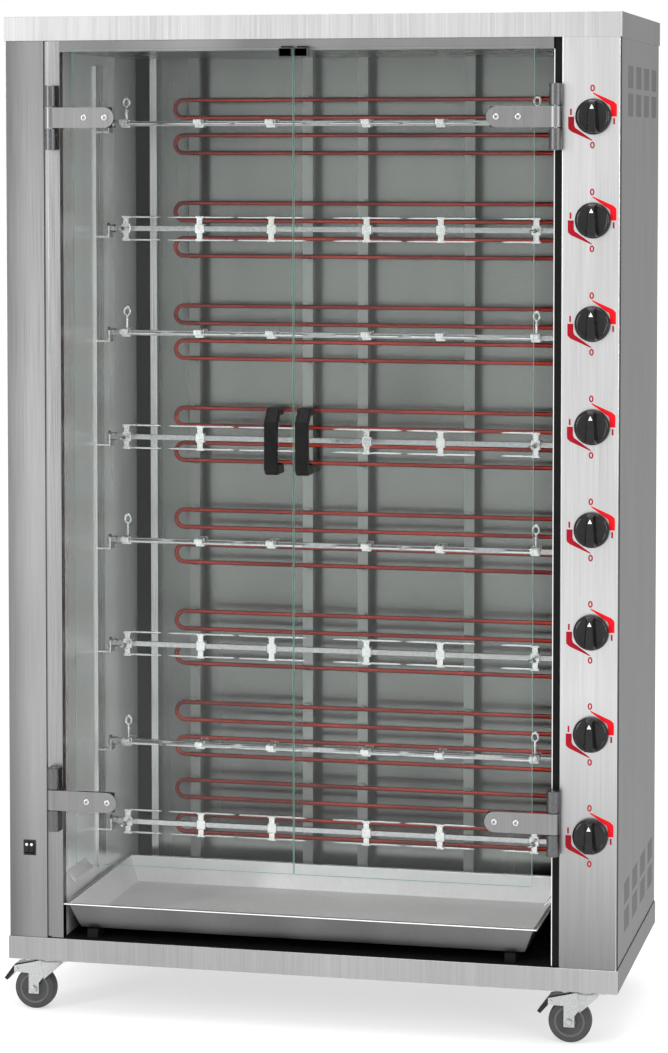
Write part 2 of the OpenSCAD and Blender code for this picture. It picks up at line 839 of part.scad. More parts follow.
module door_straps(side) {
    strike_w = 24;
    strike_h = 15;
    x0 = side == LEFT ? glass_edge[LEFT] - 2 - strike_w : glass_edge[RIGHT] + 2;
    color(ZINC) in_cabinet() {
        for (z = hinge_z) door_strap(side, z);
        difference() {
            block([x0, glass_y0 - strike_t, glass_top - strike_h],
                  [x0 + strike_w, glass_y1 + strike_t, glass_top + strike_t]);
            block([x0 - 1, glass_y0, glass_top - strike_h - 1],
                  [x0 + strike_w + 1, glass_y1, glass_top]);
        }
    }
}

// a bridge handle with a fixing behind the glass at each foot
module door_handle(side) {
    arm_z = (handle_h - handle_t) / 2;
    nut_r = 9;
    nut_t = 5;
    color(BLACK) in_cabinet()
    translate([handle_x[side], glass_y0, handle_z]) {
        union() {
            block([-handle_w / 2, -handle_reach, -handle_h / 2],
                  [handle_w / 2, -handle_reach + handle_t, handle_h / 2]);
            for (step = [-1, 1])
                block([-handle_w / 2, -handle_reach, step * arm_z - handle_t / 2],
                      [handle_w / 2, 0, step * arm_z + handle_t / 2]);
        }
        for (step = [-1, 1])
            union() {
                bar_y([0, 0, step * arm_z], glass_screw_r, glass_t);
                bar_y([0, glass_t, step * arm_z], nut_r, nut_t);
            }
    }
}

// --- drip tray ---

// a block whose four walls lean inwards towards the bottom
module tapered_block(low, high, slope) {
    intersection() {
        translate([0, high.y, 0]) rotate([90, 0, 0]) linear_extrude(high.y - low.y)
            polygon([[low.x, high.z], [high.x, high.z],
                     [high.x - slope, low.z], [low.x + slope, low.z]]);
        translate([low.x, 0, 0]) rotate([90, 0, 90]) linear_extrude(high.x - low.x)
            polygon([[low.y, high.z], [high.y, high.z],
                     [high.y - slope, low.z], [low.y + slope, low.z]]);
    }
}

module drip_tray() {
    rim = [tray_rim_w, tray_rim_w, 0];
    wall = [tray_t, tray_t, 0];
    low = [tray_x0, tray_y0, tray_z0] + rim;
    high = [tray_x1, tray_y1, tray_rim_z] - rim;
    color(STEEL) in_cabinet()
    difference() {
        union() {
            tapered_block(low, high, tray_slope);
            block([tray_x0, tray_y0, tray_rim_z - tray_rim_h], [tray_x1, tray_y1, tray_rim_z]);
        }
        tapered_block(low + wall + [0, 0, tray_t], high - wall + [0, 0, 0.01], tray_slope);
    }
}

// the rails under the tray and the sloped guards above its sides
module tray_guides() {
    guard_z = 168;
    guard_drop = 18;
    guard_reach = 17;
    guard_len = 120;
    guard_front = 22;
    color(CHAMBER) in_cabinet() {
        for (x = [tray_x0 + guide_inset, tray_x1 - guide_inset - guide_w])
            block([x, guide_front, floor_z],
                  [x + guide_w, tray_y1 - guide_rear, tray_z0 - slide_gap]);
        for (side = [LEFT, RIGHT])
            translate([side == LEFT ? open_x0 : open_x1, guard_front + guard_len, guard_z])
                mirror([side == LEFT ? 0 : 1, 0, 0]) rotate([90, 0, 0])
                linear_extrude(guard_len)
                polygon([[0, 0], [guard_reach, -guard_drop], [guard_reach, -guard_drop - sheet],
                         [0, -sheet]]);
    }
}

// --- controls ---

module knob(number) {
    pointer_w = 9;
    color(BLACK) in_cabinet()
    translate([knob_x, wall_y0 - knob_gap, knob_z[number - 1]]) rotate([90, 0, 0])
    union() {
        bar_z([0, 0, 0], knob_r, knob_disc_h);
        linear_extrude(knob_reach - knob_gap)
            polygon([[-pointer_w / 2, knob_r - 2], [pointer_w / 2, knob_r - 2],
                     [knob_bar_w / 2, -knob_r + 5], [-knob_bar_w / 2, -knob_r + 5]]);
        bar_z([0, 0, -shaft_len], shaft_r, shaft_len + 1);
    }
}

// eight cam switches behind the knobs, and the terminal block near the cable gland
module switchgear() {
    terminal_size = [60, 30, 90];
    terminal_inset = 30;
    terminal_z = 380;
    terminal_at = [cabinet_w - terminal_inset - terminal_size.x,
                   wall_y1 - sheet - terminal_size.y, terminal_z];
    color(GREY) in_cabinet() {
        for (z = knob_z)
            difference() {
                block([knob_x - cam_w / 2, panel_y1, z - cam_w / 2],
                      [knob_x + cam_w / 2, panel_y1 + cam_d, z + cam_w / 2]);
                bar_y([knob_x, panel_y1 - 1, z], shaft_r + running_fit, shaft_len + 2);
            }
        block(terminal_at, terminal_at + terminal_size);
    }
}

module switch_housing() {
    color(BLACK) in_cabinet()
    translate([switch_x, wall_y0, switch_z])
    difference() {
        union() {
            block([-switch_w / 2, -bezel_t, -switch_h / 2], [switch_w / 2, 0, switch_h / 2]);
            block([-switch_w / 2 + bezel_rim, 0, -switch_h / 2 + bezel_rim],
                  [switch_w / 2 - bezel_rim, housing_d, switch_h / 2 - bezel_rim]);
        }
        for (x = rocker_x)
            block([x - well_w / 2, -bezel_t - 1, -rocker_half_h - rocker_well],
                  [x + well_w / 2, housing_d - 6, rocker_half_h + rocker_well]);
        bar_x([-switch_w / 2 + bezel_rim + well_wall / 2, rocker_pivot_y, 0],
              rocker_pin_r + running_fit, switch_w - 2 * bezel_rim - well_wall);
    }
}

module rocker(number) {
    x = rocker_x[number - 1];
    pin_len = well_w + 0.8 * well_wall;
    key_face = [[-9, rocker_half_h], [-7.5, 0], [-9, -rocker_half_h]];
    key_heel = [[-4, -rocker_half_h], [5, -4], [5, 4], [-4, rocker_half_h]];
    color(BLACK) in_cabinet()
    translate([switch_x + x, wall_y0 + rocker_pivot_y, switch_z])
    rotate([-rocker_travel / 2, 0, 0])
    union() {
        translate([-rocker_w / 2, 0, 0]) rotate([90, 0, 90]) linear_extrude(rocker_w)
            polygon(concat(key_face, key_heel));
        bar_x([-pin_len / 2, 0, 0], rocker_pin_r, pin_len);
    }
}

// --- castors ---

// places a castor with its swivel axis at x = 0, y = 0
module at_castor(number) {
    place = castor_xy[number - 1];
    in_cabinet() translate([place.x, place.y, 0]) children();
}

module castor_plate() {
    bolt_r = 4;
    bolt_x = plate_w / 2 - 12;
    bolt_y = plate_d / 2 - 12;
    difference() {
        union() {
            block([-plate_w / 2, -plate_d / 2, -plate_t], [plate_w / 2, plate_d / 2, 0]);
            bar_z([0, 0, -plate_t - bearing_h], bearing_r, bearing_h + 1);
            for (x = [-bolt_x, bolt_x], y = [-bolt_y, bolt_y])
                bar_z([x, y, -plate_t - 5], bolt_r + 2, 6);
        }
        bar_z([0, 0, -plate_t - bearing_h - 1], kingpin_r + running_fit, bearing_h);
    }
}

module castor_plates() {
    color(ZINC)
    for (number = [1 : len(castor_xy)]) at_castor(number) castor_plate();
}

// head disc, kingpin, two side plates and the axle; the braked ones have long arms
module castor_fork(number) {
    braked = number <= 2;
    leg_half = 10;
    foot = 9;
    knee = 12;
    brow = 30;
    arm_half = 6;
    head_ends = [-16, 14];
    arm = braked ? pedal_pivot_x - 5 : -castor_trail - 18;
    leg = [[head_ends[1], head_z], [-castor_trail + leg_half, axle_z + knee],
           [-castor_trail + leg_half, axle_z - foot], [-castor_trail - leg_half, axle_z - foot],
           [-castor_trail - leg_half, axle_z + brow], [arm, pedal_pivot_z - arm_half],
           [arm, pedal_pivot_z + arm_half], [head_ends[0], head_z]];
    color(ZINC) at_castor(number)
    union() {
        bar_z([0, 0, head_z - head_t], bearing_r + 2, head_t);
        bar_z([0, 0, head_z - 1], kingpin_r, bearing_h);
        for (y = [-fork_y, fork_y + fork_t])
            translate([0, y, 0]) rotate([90, 0, 0]) linear_extrude(fork_t) polygon(leg);
        bar_y([-castor_trail, -fork_y - fork_t - 4, axle_z], axle_r, 2 * (fork_y + fork_t + 4));
        if (braked)
            bar_y([pedal_pivot_x, -fork_y - fork_t - 2, pedal_pivot_z],
                  pedal_pin_r, 2 * (fork_y + fork_t + 2));
    }
}

module castor_wheel(number) {
    hub_r = 14;
    color(GREY) at_castor(number)
    translate([-castor_trail, 0, axle_z]) rotate([90, 0, 0])
    difference() {
        union() {
            translate([0, 0, -wheel_w / 2]) cylinder(r = wheel_r, h = wheel_w);
            translate([0, 0, -wheel_w / 2 - 1.5]) cylinder(r = hub_r, h = wheel_w + 3);
        }
        translate([0, 0, -wheel_w]) cylinder(r = axle_r + running_fit, h = 2 * wheel_w);
    }
}

module brake_pedal(number) {
    inner = 2 * (fork_y - slide_gap);
    tip = -pedal_reach - wheel_r - castor_trail - pedal_pivot_x;
    brake_shoe = [[34, 17], [36, 14], [7, 5]];
    heel = [[5, -2], [-4, -6]];
    toe_plate = [[tip + 6, -24], [tip, -20]];
    back = [[-9, 3], [-4, 9]];
    color(BLACK) at_castor(number)
    translate([pedal_pivot_x, 0, pedal_pivot_z])
    difference() {
        translate([0, inner / 2, 0]) rotate([90, 0, 0]) linear_extrude(inner)
            polygon(concat(brake_shoe, heel, toe_plate, back));
        bar_y([0, -inner, 0], pedal_pin_r + running_fit, 2 * inner);
    }
}

module cable_gland() {
    color(BLACK) in_cabinet()
    translate([gland_x, wall_y1, gland_z])
    difference() {
        union() {
            bar_y([0, -sheet - gland_in, 0], gland_thread_r, sheet + gland_in + 1);
            translate([0, gland_nut_t, 0]) rotate([90, 0, 0])
                cylinder(r = gland_nut_r, h = gland_nut_t, $fn = 6);
            bar_y([0, gland_nut_t - 1, 0], gland_dome_r, gland_out - gland_nut_t + 1);
            translate([0, -sheet, 0]) rotate([90, 0, 0])
                cylinder(r = gland_nut_r, h = gland_nut_t, $fn = 6);
        }
        bar_y([0, -sheet - gland_in - 1, 0], gland_bore_r, sheet + gland_in + gland_out + 2);
    }
}

base_frame();
top_cap();
left_front_panel();
left_side_panel();
right_side_panel();
control_panel();
rear_panel();
chamber_back();
chamber_left_wall();
chamber_right_wall();
chamber_ceiling();
chamber_floor();
door_posts();
spit_rests();
element_carriers();
heating_elements();
spit_motors();
hinge_blocks();
hinge_pins();
door_magnets();
tray_guides();
switchgear();
switch_housing();
castor_plates();
cable_gland();
door_glass(LEFT);  // left_door_glass
door_straps(LEFT);  // left_door_straps
door_handle(LEFT);  // left_door_handle
door_glass(RIGHT);  // right_door_glass
door_straps(RIGHT);  // right_door_straps
door_handle(RIGHT);  // right_door_handle
drip_tray();
spit(1);  // spit_1
spit(2);  // spit_2
spit(3);  // spit_3
spit(4);  // spit_4
spit(5);  // spit_5
spit(6);  // spit_6
spit(7);  // spit_7
spit(8);  // spit_8
knob(1);  // knob_1
knob(2);  // knob_2
knob(3);  // knob_3
knob(4);  // knob_4
knob(5);  // knob_5
knob(6);  // knob_6
knob(7);  // knob_7
knob(8);  // knob_8
rocker(1);  // rocker_1
rocker(2);  // rocker_2
castor_fork(1);  // castor_fork_1
castor_fork(2);  // castor_fork_2
castor_fork(3);  // castor_fork_3
castor_fork(4);  // castor_fork_4
castor_wheel(1);  // castor_wheel_1
castor_wheel(2);  // castor_wheel_2
castor_wheel(3);  // castor_wheel_3
castor_wheel(4);  // castor_wheel_4
brake_pedal(1);  // brake_pedal_1
brake_pedal(2);  // brake_pedal_2
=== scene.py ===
"""The looks of a tall rotisserie oven: brushed sheet metal, glass doors, spits and heating tubes."""

import json
import math

import bpy
from mathutils import Matrix, Vector


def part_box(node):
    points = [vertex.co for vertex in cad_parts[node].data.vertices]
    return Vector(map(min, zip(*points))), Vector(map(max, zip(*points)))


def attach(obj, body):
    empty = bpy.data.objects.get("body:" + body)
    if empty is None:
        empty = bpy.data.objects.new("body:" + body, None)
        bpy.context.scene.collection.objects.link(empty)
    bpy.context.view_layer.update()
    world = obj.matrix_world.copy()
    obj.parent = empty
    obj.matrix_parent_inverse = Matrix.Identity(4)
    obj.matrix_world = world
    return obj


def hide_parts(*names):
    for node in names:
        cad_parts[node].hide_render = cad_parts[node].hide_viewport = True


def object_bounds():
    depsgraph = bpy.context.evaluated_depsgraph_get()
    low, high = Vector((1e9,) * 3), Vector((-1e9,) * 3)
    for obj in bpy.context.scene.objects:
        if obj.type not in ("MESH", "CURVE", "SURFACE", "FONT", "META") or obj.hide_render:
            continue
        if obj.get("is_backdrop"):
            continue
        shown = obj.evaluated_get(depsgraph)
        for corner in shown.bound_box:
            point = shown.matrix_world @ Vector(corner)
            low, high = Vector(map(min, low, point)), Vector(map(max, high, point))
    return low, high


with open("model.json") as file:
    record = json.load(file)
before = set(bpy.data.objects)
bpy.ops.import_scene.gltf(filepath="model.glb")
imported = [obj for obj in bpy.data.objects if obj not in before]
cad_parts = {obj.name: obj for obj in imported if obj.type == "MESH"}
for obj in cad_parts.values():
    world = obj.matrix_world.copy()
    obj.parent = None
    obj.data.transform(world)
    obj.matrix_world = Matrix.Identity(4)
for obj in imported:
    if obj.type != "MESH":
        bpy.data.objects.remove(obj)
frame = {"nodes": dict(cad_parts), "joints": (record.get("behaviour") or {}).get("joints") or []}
cad_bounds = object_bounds()

MM = 0.001
X = Vector((1, 0, 0))
Y = Vector((0, 1, 0))
Z = Vector((0, 0, 1))
SPITS = 8
CASTORS = 4
BRAKED = 2

# Places that many pieces share, read from the frame.
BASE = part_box("base_frame")
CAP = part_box("top_cap")
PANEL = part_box("control_panel")
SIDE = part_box("right_side_panel")
FRONT = PANEL[0].y


# ---------------------------------------------------------------- modelling


def deselect():
    """Leaves object mode with nothing selected."""
    if bpy.context.object and bpy.context.object.mode != "OBJECT":
        bpy.ops.object.mode_set(mode="OBJECT")
    bpy.ops.object.select_all(action="DESELECT")


def pick(piece):
    """Selects one piece and makes it the active one."""
    deselect()
    piece.select_set(True)
    bpy.context.view_layer.objects.active = piece
    return piece


def named(name):
    """Names the new primitive and puts its place into its mesh."""
    piece = bpy.context.object
    piece.name = name
    piece.data.name = name
    bpy.ops.object.transform_apply(location=True, rotation=True, scale=True)
    return piece


def block(name, low, high):
    """A box from its lowest to its highest corner, to be shaped further."""
    deselect()
    low, high = Vector(low), Vector(high)
    bpy.ops.mesh.primitive_cube_add(size=1, location=(low + high) / 2, scale=high - low)
    return named(name)


def edit(piece, mode):
    """Opens a piece in edit mode with nothing selected."""
    pick(piece)
    bpy.ops.object.mode_set(mode="EDIT")
    bpy.ops.mesh.select_mode(type=mode)
    bpy.ops.mesh.select_all(action="DESELECT")
    bpy.ops.object.mode_set(mode="OBJECT")


def choose(piece, kind, test):
    """Selects the faces, edges or vertices that pass a test on their middle and direction."""
    edit(piece, {"faces": "FACE", "edges": "EDGE", "verts": "VERT"}[kind])
    mesh = piece.data
    if kind == "faces":
        for face in mesh.polygons:
            face.select = test(face.center, face.normal)
    elif kind == "verts":
        for vert in mesh.vertices:
            vert.select = test(vert.co)
    else:
        for edge in mesh.edges:
            ends = [mesh.vertices[i].co for i in edge.vertices]
            edge.select = test((ends[0] + ends[1]) / 2, (ends[1] - ends[0]).normalized())
    bpy.ops.object.mode_set(mode="EDIT")


def done():
    """Goes back to object mode."""
    bpy.ops.object.mode_set(mode="OBJECT")


def bevel_edges(piece, width, segments, test):
    """Rounds or chamfers only the edges that pass the test."""
    choose(piece, "edges", test)
    bpy.ops.mesh.bevel(offset=width, segments=segments, affect="EDGES")
    done()
    return piece


def extrude_faces(piece, move, test):
    """Pulls the chosen faces out by a vector."""
    choose(piece, "faces", test)
    bpy.ops.mesh.extrude_region_move(TRANSFORM_OT_translate={"value": move})
    done()
    return piece


def scale_points(piece, factors, centre, test):
    """Scales the chosen points about a centre."""
    choose(piece, "verts", test)
    bpy.ops.transform.resize(value=factors, center_override=centre)
    done()
    return piece


def cut(piece, place, normal, clear_outer=False, clear_inner=False, fill=False):
    """Cuts a piece along a plane, and removes a side if asked."""
    choose(piece, "faces", lambda middle, way: True)
    bpy.ops.mesh.bisect(plane_co=place, plane_no=normal, use_fill=fill,
                        clear_outer=clear_outer, clear_inner=clear_inner)
    done()
    return piece


def outward(piece):
    """Turns every face outwards."""
    choose(piece, "faces", lambda middle, way: True)
    bpy.ops.mesh.normals_make_consistent(inside=False)
    done()
    return piece


def turned(name, start, way, rings, sides=48):
    """A piece turned on a lathe; rings holds pairs of distance along the axis and radius."""
    deselect()
    start, way = Vector(start), Vector(way)
    (last_at, last_r), *rest = rings
    bpy.ops.mesh.primitive_circle_add(
        vertices=sides, radius=last_r, fill_type="NGON", location=start + way * last_at,
        rotation=way.to_track_quat("Z", "Y").to_euler())
    piece = named(name)
    choose(piece, "faces", lambda middle, normal: True)
    for at, r in rest:
        bpy.ops.mesh.extrude_region_move(TRANSFORM_OT_translate={"value": way * (at - last_at)})
        bpy.ops.transform.resize(value=(r / last_r,) * 3, center_override=start + way * at)
        last_at, last_r = at, r
    done()
    return outward(piece)


def profile(name, points, thickness):
    """A flat piece from the points of its outline, pulled to its thickness by a vector."""
    deselect()
    bpy.ops.mesh.primitive_circle_add(vertices=len(points), radius=1, fill_type="NGON")
    piece = named(name)
    for vert, point in zip(piece.data.vertices, points):
        vert.co = point
    extrude_faces(piece, thickness, lambda middle, way: True)
    return outward(piece)


def plate(name, outline, y, depth):
    """A flat plate facing forwards, from the points of its outline in x and z."""
    return profile(name, [(x, y, z) for x, z in outline], Y * depth)


def modify(piece, kind, **settings):
    """Adds a modifier and applies it."""
    pick(piece)
    modifier = piece.modifiers.new(kind.title(), kind)
    for key, value in settings.items():
        setattr(modifier, key, value)
    bpy.ops.object.modifier_apply(modifier=modifier.name)
    return piece


def round_edges(piece, width, segments=2, angle=32):
    """Rounds every sharp edge and keeps the flat faces flat in the shading."""
    modify(piece, "BEVEL", width=width, segments=segments, limit_method="ANGLE",
           angle_limit=math.radians(angle), use_clamp_overlap=True)
    return smooth(piece)


def smooth(piece, angle=40):
    """Smooth shading with weighted normals."""
    pick(piece)
    bpy.ops.object.shade_smooth_by_angle(angle=math.radians(angle))
    return modify(piece, "WEIGHTED_NORMAL", keep_sharp=True)


def join(name, pieces):
    """Makes one piece of several that are fastened to each other."""
    pick(pieces[0])
    for piece in pieces[1:]:
        piece.select_set(True)
    bpy.ops.object.join()
    pieces[0].name = name
    pieces[0].data.name = name
    return pieces[0]


def copied(piece, name, change):
    """A copy with its own mesh, moved or turned by a matrix."""
    twin = piece.copy()
    twin.data = piece.data.copy()
    twin.name = name
    twin.data.name = name
    twin.data.transform(change)
    bpy.context.scene.collection.objects.link(twin)
    return twin


def from_node(name, node, keep=None):
    """A merged copy of a frame node's mesh, of the solids that pass the test on x."""
    source = frame["nodes"][node]
    piece = bpy.data.objects.new(name, source.data.copy())
    bpy.context.scene.collection.objects.link(piece)
    piece.data.name = name
    piece.data.materials.clear()
    pick(piece)
    bpy.ops.mesh.customdata_custom_splitnormals_clear()
    choose(piece, "verts", lambda point: True)
    bpy.ops.mesh.remove_doubles(threshold=0.002 * MM)
    done()
    if keep:
        choose(piece, "verts", lambda point: not keep(point))
        bpy.ops.mesh.delete(type="VERT")
        done()
    choose(piece, "faces", lambda middle, way: True)
    bpy.ops.mesh.dissolve_limited(angle_limit=math.radians(0.4))
    done()
    return piece


def ready(piece, body, material, slot, *nodes):
    """Gives a piece its finish, its body and the nodes it stands for."""
    if material:
        piece.data.materials.clear()
        piece.data.materials.append(material)
    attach(piece, body)
    if nodes:
        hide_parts(*nodes)
    return piece


def paint(piece, material, test):
    """Gives another finish to the faces that pass the test on their middle and direction."""
    piece.data.materials.append(material)
    number = len(piece.data.materials) - 1
    for face in piece.data.polygons:
        if test(face.center, face.normal):
            face.material_index = number
    return piece


def middle_of(box):
    """The middle of a box."""
    return (box[0] + box[1]) / 2


def joint_place(name):
    """Where a joint of the frame sits."""
    return Vector(next(j for j in frame["joints"] if j["name"] == name)["pos_m"])


# ---------------------------------------------------------------- finishes


class Finish:
    """A node material that starts from the plain shader and object coordinates."""

    def __init__(self, name, colour, metallic=0.0, roughness=0.5, **constants):
        self.material = bpy.data.materials.new(name)
        self.material.use_nodes = True
        self.tree = self.material.node_tree
        self.shader = self.tree.nodes["Principled BSDF"]
        self.shader.inputs["Base Color"].default_value = (*colour, 1)
        self.shader.inputs["Metallic"].default_value = metallic
        self.shader.inputs["Roughness"].default_value = roughness
        for socket, value in constants.items():
            self.shader.inputs[socket.replace("_", " ")].default_value = value
        self.place = self.tree.nodes.new("ShaderNodeTexCoord").outputs["Object"]
        self.height = None

    def node(self, kind, **settings):
        made = self.tree.nodes.new(kind)
        for key, value in settings.items():
            setattr(made, key, value)
        return made

    def link(self, start, end):
        self.tree.links.new(start, end)

    def noise(self, stretch, scale, detail=3.0, rough=0.55):
        """Noise on the object's own coordinates, stretched along each axis."""
        mapping = self.node("ShaderNodeMapping")
        mapping.inputs["Scale"].default_value = stretch
        self.link(self.place, mapping.inputs["Vector"])
        noise = self.node("ShaderNodeTexNoise")
        noise.inputs["Scale"].default_value = scale
        noise.inputs["Detail"].default_value = detail
        noise.inputs["Roughness"].default_value = rough
        self.link(mapping.outputs["Vector"], noise.inputs["Vector"])
        return noise.outputs["Fac"]

    def along(self, axis):
        """Distance along one axis of the object's own coordinates."""
        split = self.node("ShaderNodeSeparateXYZ")
        self.link(self.place, split.inputs["Vector"])
        return split.outputs[axis]

    def spread(self, value, low, high, start=0.3, end=0.7):
        """Maps the middle of a noise onto a range."""
        span = self.node("ShaderNodeMapRange")
        span.inputs["From Min"].default_value = start
        span.inputs["From Max"].default_value = end
        span.inputs["To Min"].default_value = low
        span.inputs["To Max"].default_value = high
        self.link(value, span.inputs["Value"])
        return span.outputs["Result"]

    def tint(self, value, dark, light, start=0.3, end=0.7):
        """Runs the colour from dark to light along a value, over what is there already."""
        mix = self.node("ShaderNodeMix", data_type="RGBA")
        mix.inputs["A"].default_value = (*dark, 1)
        mix.inputs["B"].default_value = (*light, 1)
        self.link(self.spread(value, 0, 1, start, end), mix.inputs["Factor"])
        self.colour(mix.outputs["Result"])
        return self

    def colour(self, socket):
        """Multiplies a colour onto the base colour."""
        base = self.shader.inputs["Base Color"]
        if base.links:
            mix = self.node("ShaderNodeMix", data_type="RGBA", blend_type="MULTIPLY")
            mix.inputs["Factor"].default_value = 1
            self.link(base.links[0].from_socket, mix.inputs["A"])
            self.link(socket, mix.inputs["B"])
            socket = mix.outputs["Result"]
        self.link(socket, base)

    def rough(self, value, low, high):
        self.link(self.spread(value, low, high), self.shader.inputs["Roughness"])
        return self

    def bump(self, value, depth, strength=1.0):
        """Raises the surface by a value, in metres, on top of any bump before it."""
        bump = self.node("ShaderNodeBump")
        bump.inputs["Strength"].default_value = strength
        bump.inputs["Distance"].default_value = depth
        self.link(value, bump.inputs["Height"])
        if self.height:
            self.link(self.height, bump.inputs["Normal"])
        self.height = bump.outputs["Normal"]
        self.link(self.height, self.shader.inputs["Normal"])
        return self


def brushed(name, dark, light, low, high, grain=1.0, ground=1.0, outer=None, head=1.0):
    """Stainless sheet with an upright grain; ground darkens it towards the floor it mirrors, a
    painted reflection of the floor, head darkens it towards the cap, and outer towards an outer edge
    in x, both as painted shade."""
    steel = Finish(name, light, metallic=1.0)
    lines = steel.noise((700, 700, 5), 1.0, detail=4)
    broad = steel.noise((60, 60, 1.2), 1.0, detail=3)
    cloud = steel.noise((1, 1, 0.6), 2.2, detail=2)
    steel.tint(lines, [0.82] * 3, [1.0] * 3)
    steel.tint(broad, [0.92] * 3, [1.0] * 3)
    steel.tint(cloud, dark, light)
    # Painted shade: darker towards the floor, towards the cap and towards an outer edge in x.
    if ground < 1:
        steel.tint(steel.along("Z"), [ground] * 3, [1.0] * 3, BASE[0].z, BASE[0].z + 0.55)
    if head < 1:
        steel.tint(steel.along("Z"), [1.0] * 3, [head] * 3, CAP[0].z - 0.7, CAP[0].z)
    if outer:
        shade, edge, width = outer
        steel.tint(steel.along("X"), [shade] * 3, [1.0] * 3, edge, edge + width)
    steel.rough(lines, low, high)
    steel.bump(lines, 0.012 * MM * grain).bump(broad, 0.05 * MM * grain)
    return steel.material


def mirror_sheet(name, dark, light, low, high, metallic=1.0, ground=1.0, foot=1.0):
    """Bright annealed sheet with soft upright bands and a faint rolling grain; ground darkens it
    towards the floor as painted shade, and foot brightens the strip that mirrors the tray as a
    painted reflection."""
    sheet = Finish(name, light, metallic=metallic)
    bands = sheet.noise((7, 7, 0.3), 1.0, detail=1)
    grain = sheet.noise((180, 180, 3), 1.0, detail=2)
    sheet.tint(grain, [0.96] * 3, [1.0] * 3)
    sheet.tint(bands, dark, light)
    # Painted shade towards the floor, and a painted reflection of the tray low down.
    if ground < 1:
        sheet.tint(sheet.along("Z"), [ground] * 3, [1.0] * 3, BASE[1].z, BASE[1].z + 0.9)
    if foot > 1:
        sheet.tint(sheet.along("Z"), [foot] * 3, [1.0] * 3, BASE[1].z + 0.09, BASE[1].z + 0.14)
    sheet.rough(bands, low, high)
    return sheet.material


def plated(name, dark, light, low, high):
    """Plated steel with fine mottling and slight pits."""
    metal = Finish(name, light, metallic=1.0)
    mottle = metal.noise((1, 1, 1), 260, detail=5)
    pits = metal.noise((1, 1, 1), 1100, detail=2)
    metal.tint(mottle, dark, light)
    metal.rough(mottle, low, high)
    metal.bump(pits, 0.01 * MM)
    return metal.material


def moulded(name, colour, low, high, fleck=0.03, shine=0.3):
    """Moulded plastic with a fine leather-like texture."""
    plastic = Finish(name, colour, roughness=low, Specular_IOR_Level=shine)
    texture = plastic.noise((1, 1, 1), 1500, detail=2)
    wear = plastic.noise((1, 1, 1), 60, detail=4)
    lighter = [min(1, c * 1.3 + 0.002) for c in colour]
    plastic.tint(wear, colour, lighter)
    plastic.rough(wear, low, high)
    plastic.bump(texture, fleck * MM)
    return plastic.material


def heated_tube():
    """The tubes' coppery red oxide, darker in patches and along their length."""
    tube = Finish("heat_tinted_tube", (0.4, 0.1, 0.06), metallic=0.85)
    patches = tube.noise((6, 30, 30), 1.0, detail=4)
    scale = tube.noise((200, 400, 400), 1.0, detail=3)
    tube.tint(scale, [0.8] * 3, [1.0] * 3)
    tube.tint(patches, (0.17, 0.012, 0.01), (0.42, 0.045, 0.025))
    tube.rough(patches, 0.14, 0.24)
    tube.bump(scale, 0.04 * MM)
    return tube.material


def door_glass():
    """Clear toughened glass with a faint green cast."""
    glass = Finish("door_glass", (0.955, 0.985, 0.972), roughness=0.0,
                   Transmission_Weight=1.0, IOR=1.3, Specular_IOR_Level=0.2)
    smears = glass.noise((1, 1, 0.5), 6, detail=3)
    glass.bump(smears, 0.01 * MM)
    return glass.material


def glass_edge():
    """The ground edges of the glass, which gather a pale green light."""
    edge = Finish("glass_edge", (0.62, 0.8, 0.73), roughness=0.35, Transmission_Weight=0.25)
    grind = edge.noise((900, 900, 900), 1.0, detail=2)
    edge.tint(grind, (0.2, 0.5, 0.4), (0.42, 0.72, 0.62))
    edge.bump(grind, 0.02 * MM)
    return edge.material


def tyre_rubber():
    """Grey-black rubber with a fine moulded skin."""
    rubber = Finish("tyre_rubber", (0.035, 0.035, 0.037), roughness=0.7)
    skin = rubber.noise((1, 1, 1), 700, detail=3)
    dust = rubber.noise((1, 1, 1), 40, detail=4)
    rubber.tint(dust, (0.028, 0.028, 0.03), (0.06, 0.06, 0.062))
    rubber.rough(dust, 0.55, 0.8)
    rubber.bump(skin, 0.05 * MM)
    return rubber.material


def printed(name, colour):
    """Screen-printed ink with a slightly uneven film."""
    ink = Finish(name, colour, roughness=0.4, Specular_IOR_Level=0.15)
    film = ink.noise((1, 1, 1), 800, detail=2)
    ink.tint(film, [c * 0.9 for c in colour], colour)
    ink.bump(film, 0.01 * MM)
    return ink.material


STEEL = brushed("brushed_steel", (0.4, 0.4, 0.4), (0.52, 0.52, 0.52), 0.28, 0.42)
# Painted shade: the cap steel darkens towards the cabinet's left end.
CAP_STEEL = brushed("cap_steel", (0.56, 0.56, 0.56), (0.7, 0.7, 0.7), 0.3, 0.42, 1.0, 1.0,
                    (0.75, BASE[0].x, 500 * MM))
BASE_STEEL = brushed("base_steel", (0.36, 0.36, 0.36), (0.45, 0.45, 0.45), 0.3, 0.42)
# Painted shade: the control panel darkens towards the floor.
PANEL_STEEL = brushed("panel_steel", (0.62, 0.62, 0.62), (0.74, 0.74, 0.74), 0.26, 0.4, 1.0, 0.28)
# Painted shade: the left front panel darkens towards the floor, towards the cap and towards its
# outer left edge.
LEFT_STEEL = brushed("left_steel", (0.33, 0.33, 0.33), (0.42, 0.42, 0.42), 0.28, 0.42, 1.0, 0.8,
                     (0.5, BASE[0].x, 48 * MM), 0.64)
# A shaded copy of the steel for right-facing faces: painted shade.
SHADED_SIDE_STEEL = brushed("shaded_side_steel", (0.137, 0.137, 0.137), (0.165, 0.165, 0.165), 0.4, 0.55, 0.5)
# A bright steel for painted highlights on folds, corners and edges; the spit rests are made of it
# too.
BRIGHT_AND_HIGHLIGHT_STEEL = brushed("bright_steel_and_highlight", (0.8, 0.8, 0.8), (0.92, 0.92, 0.92), 0.2, 0.3, 0.4)
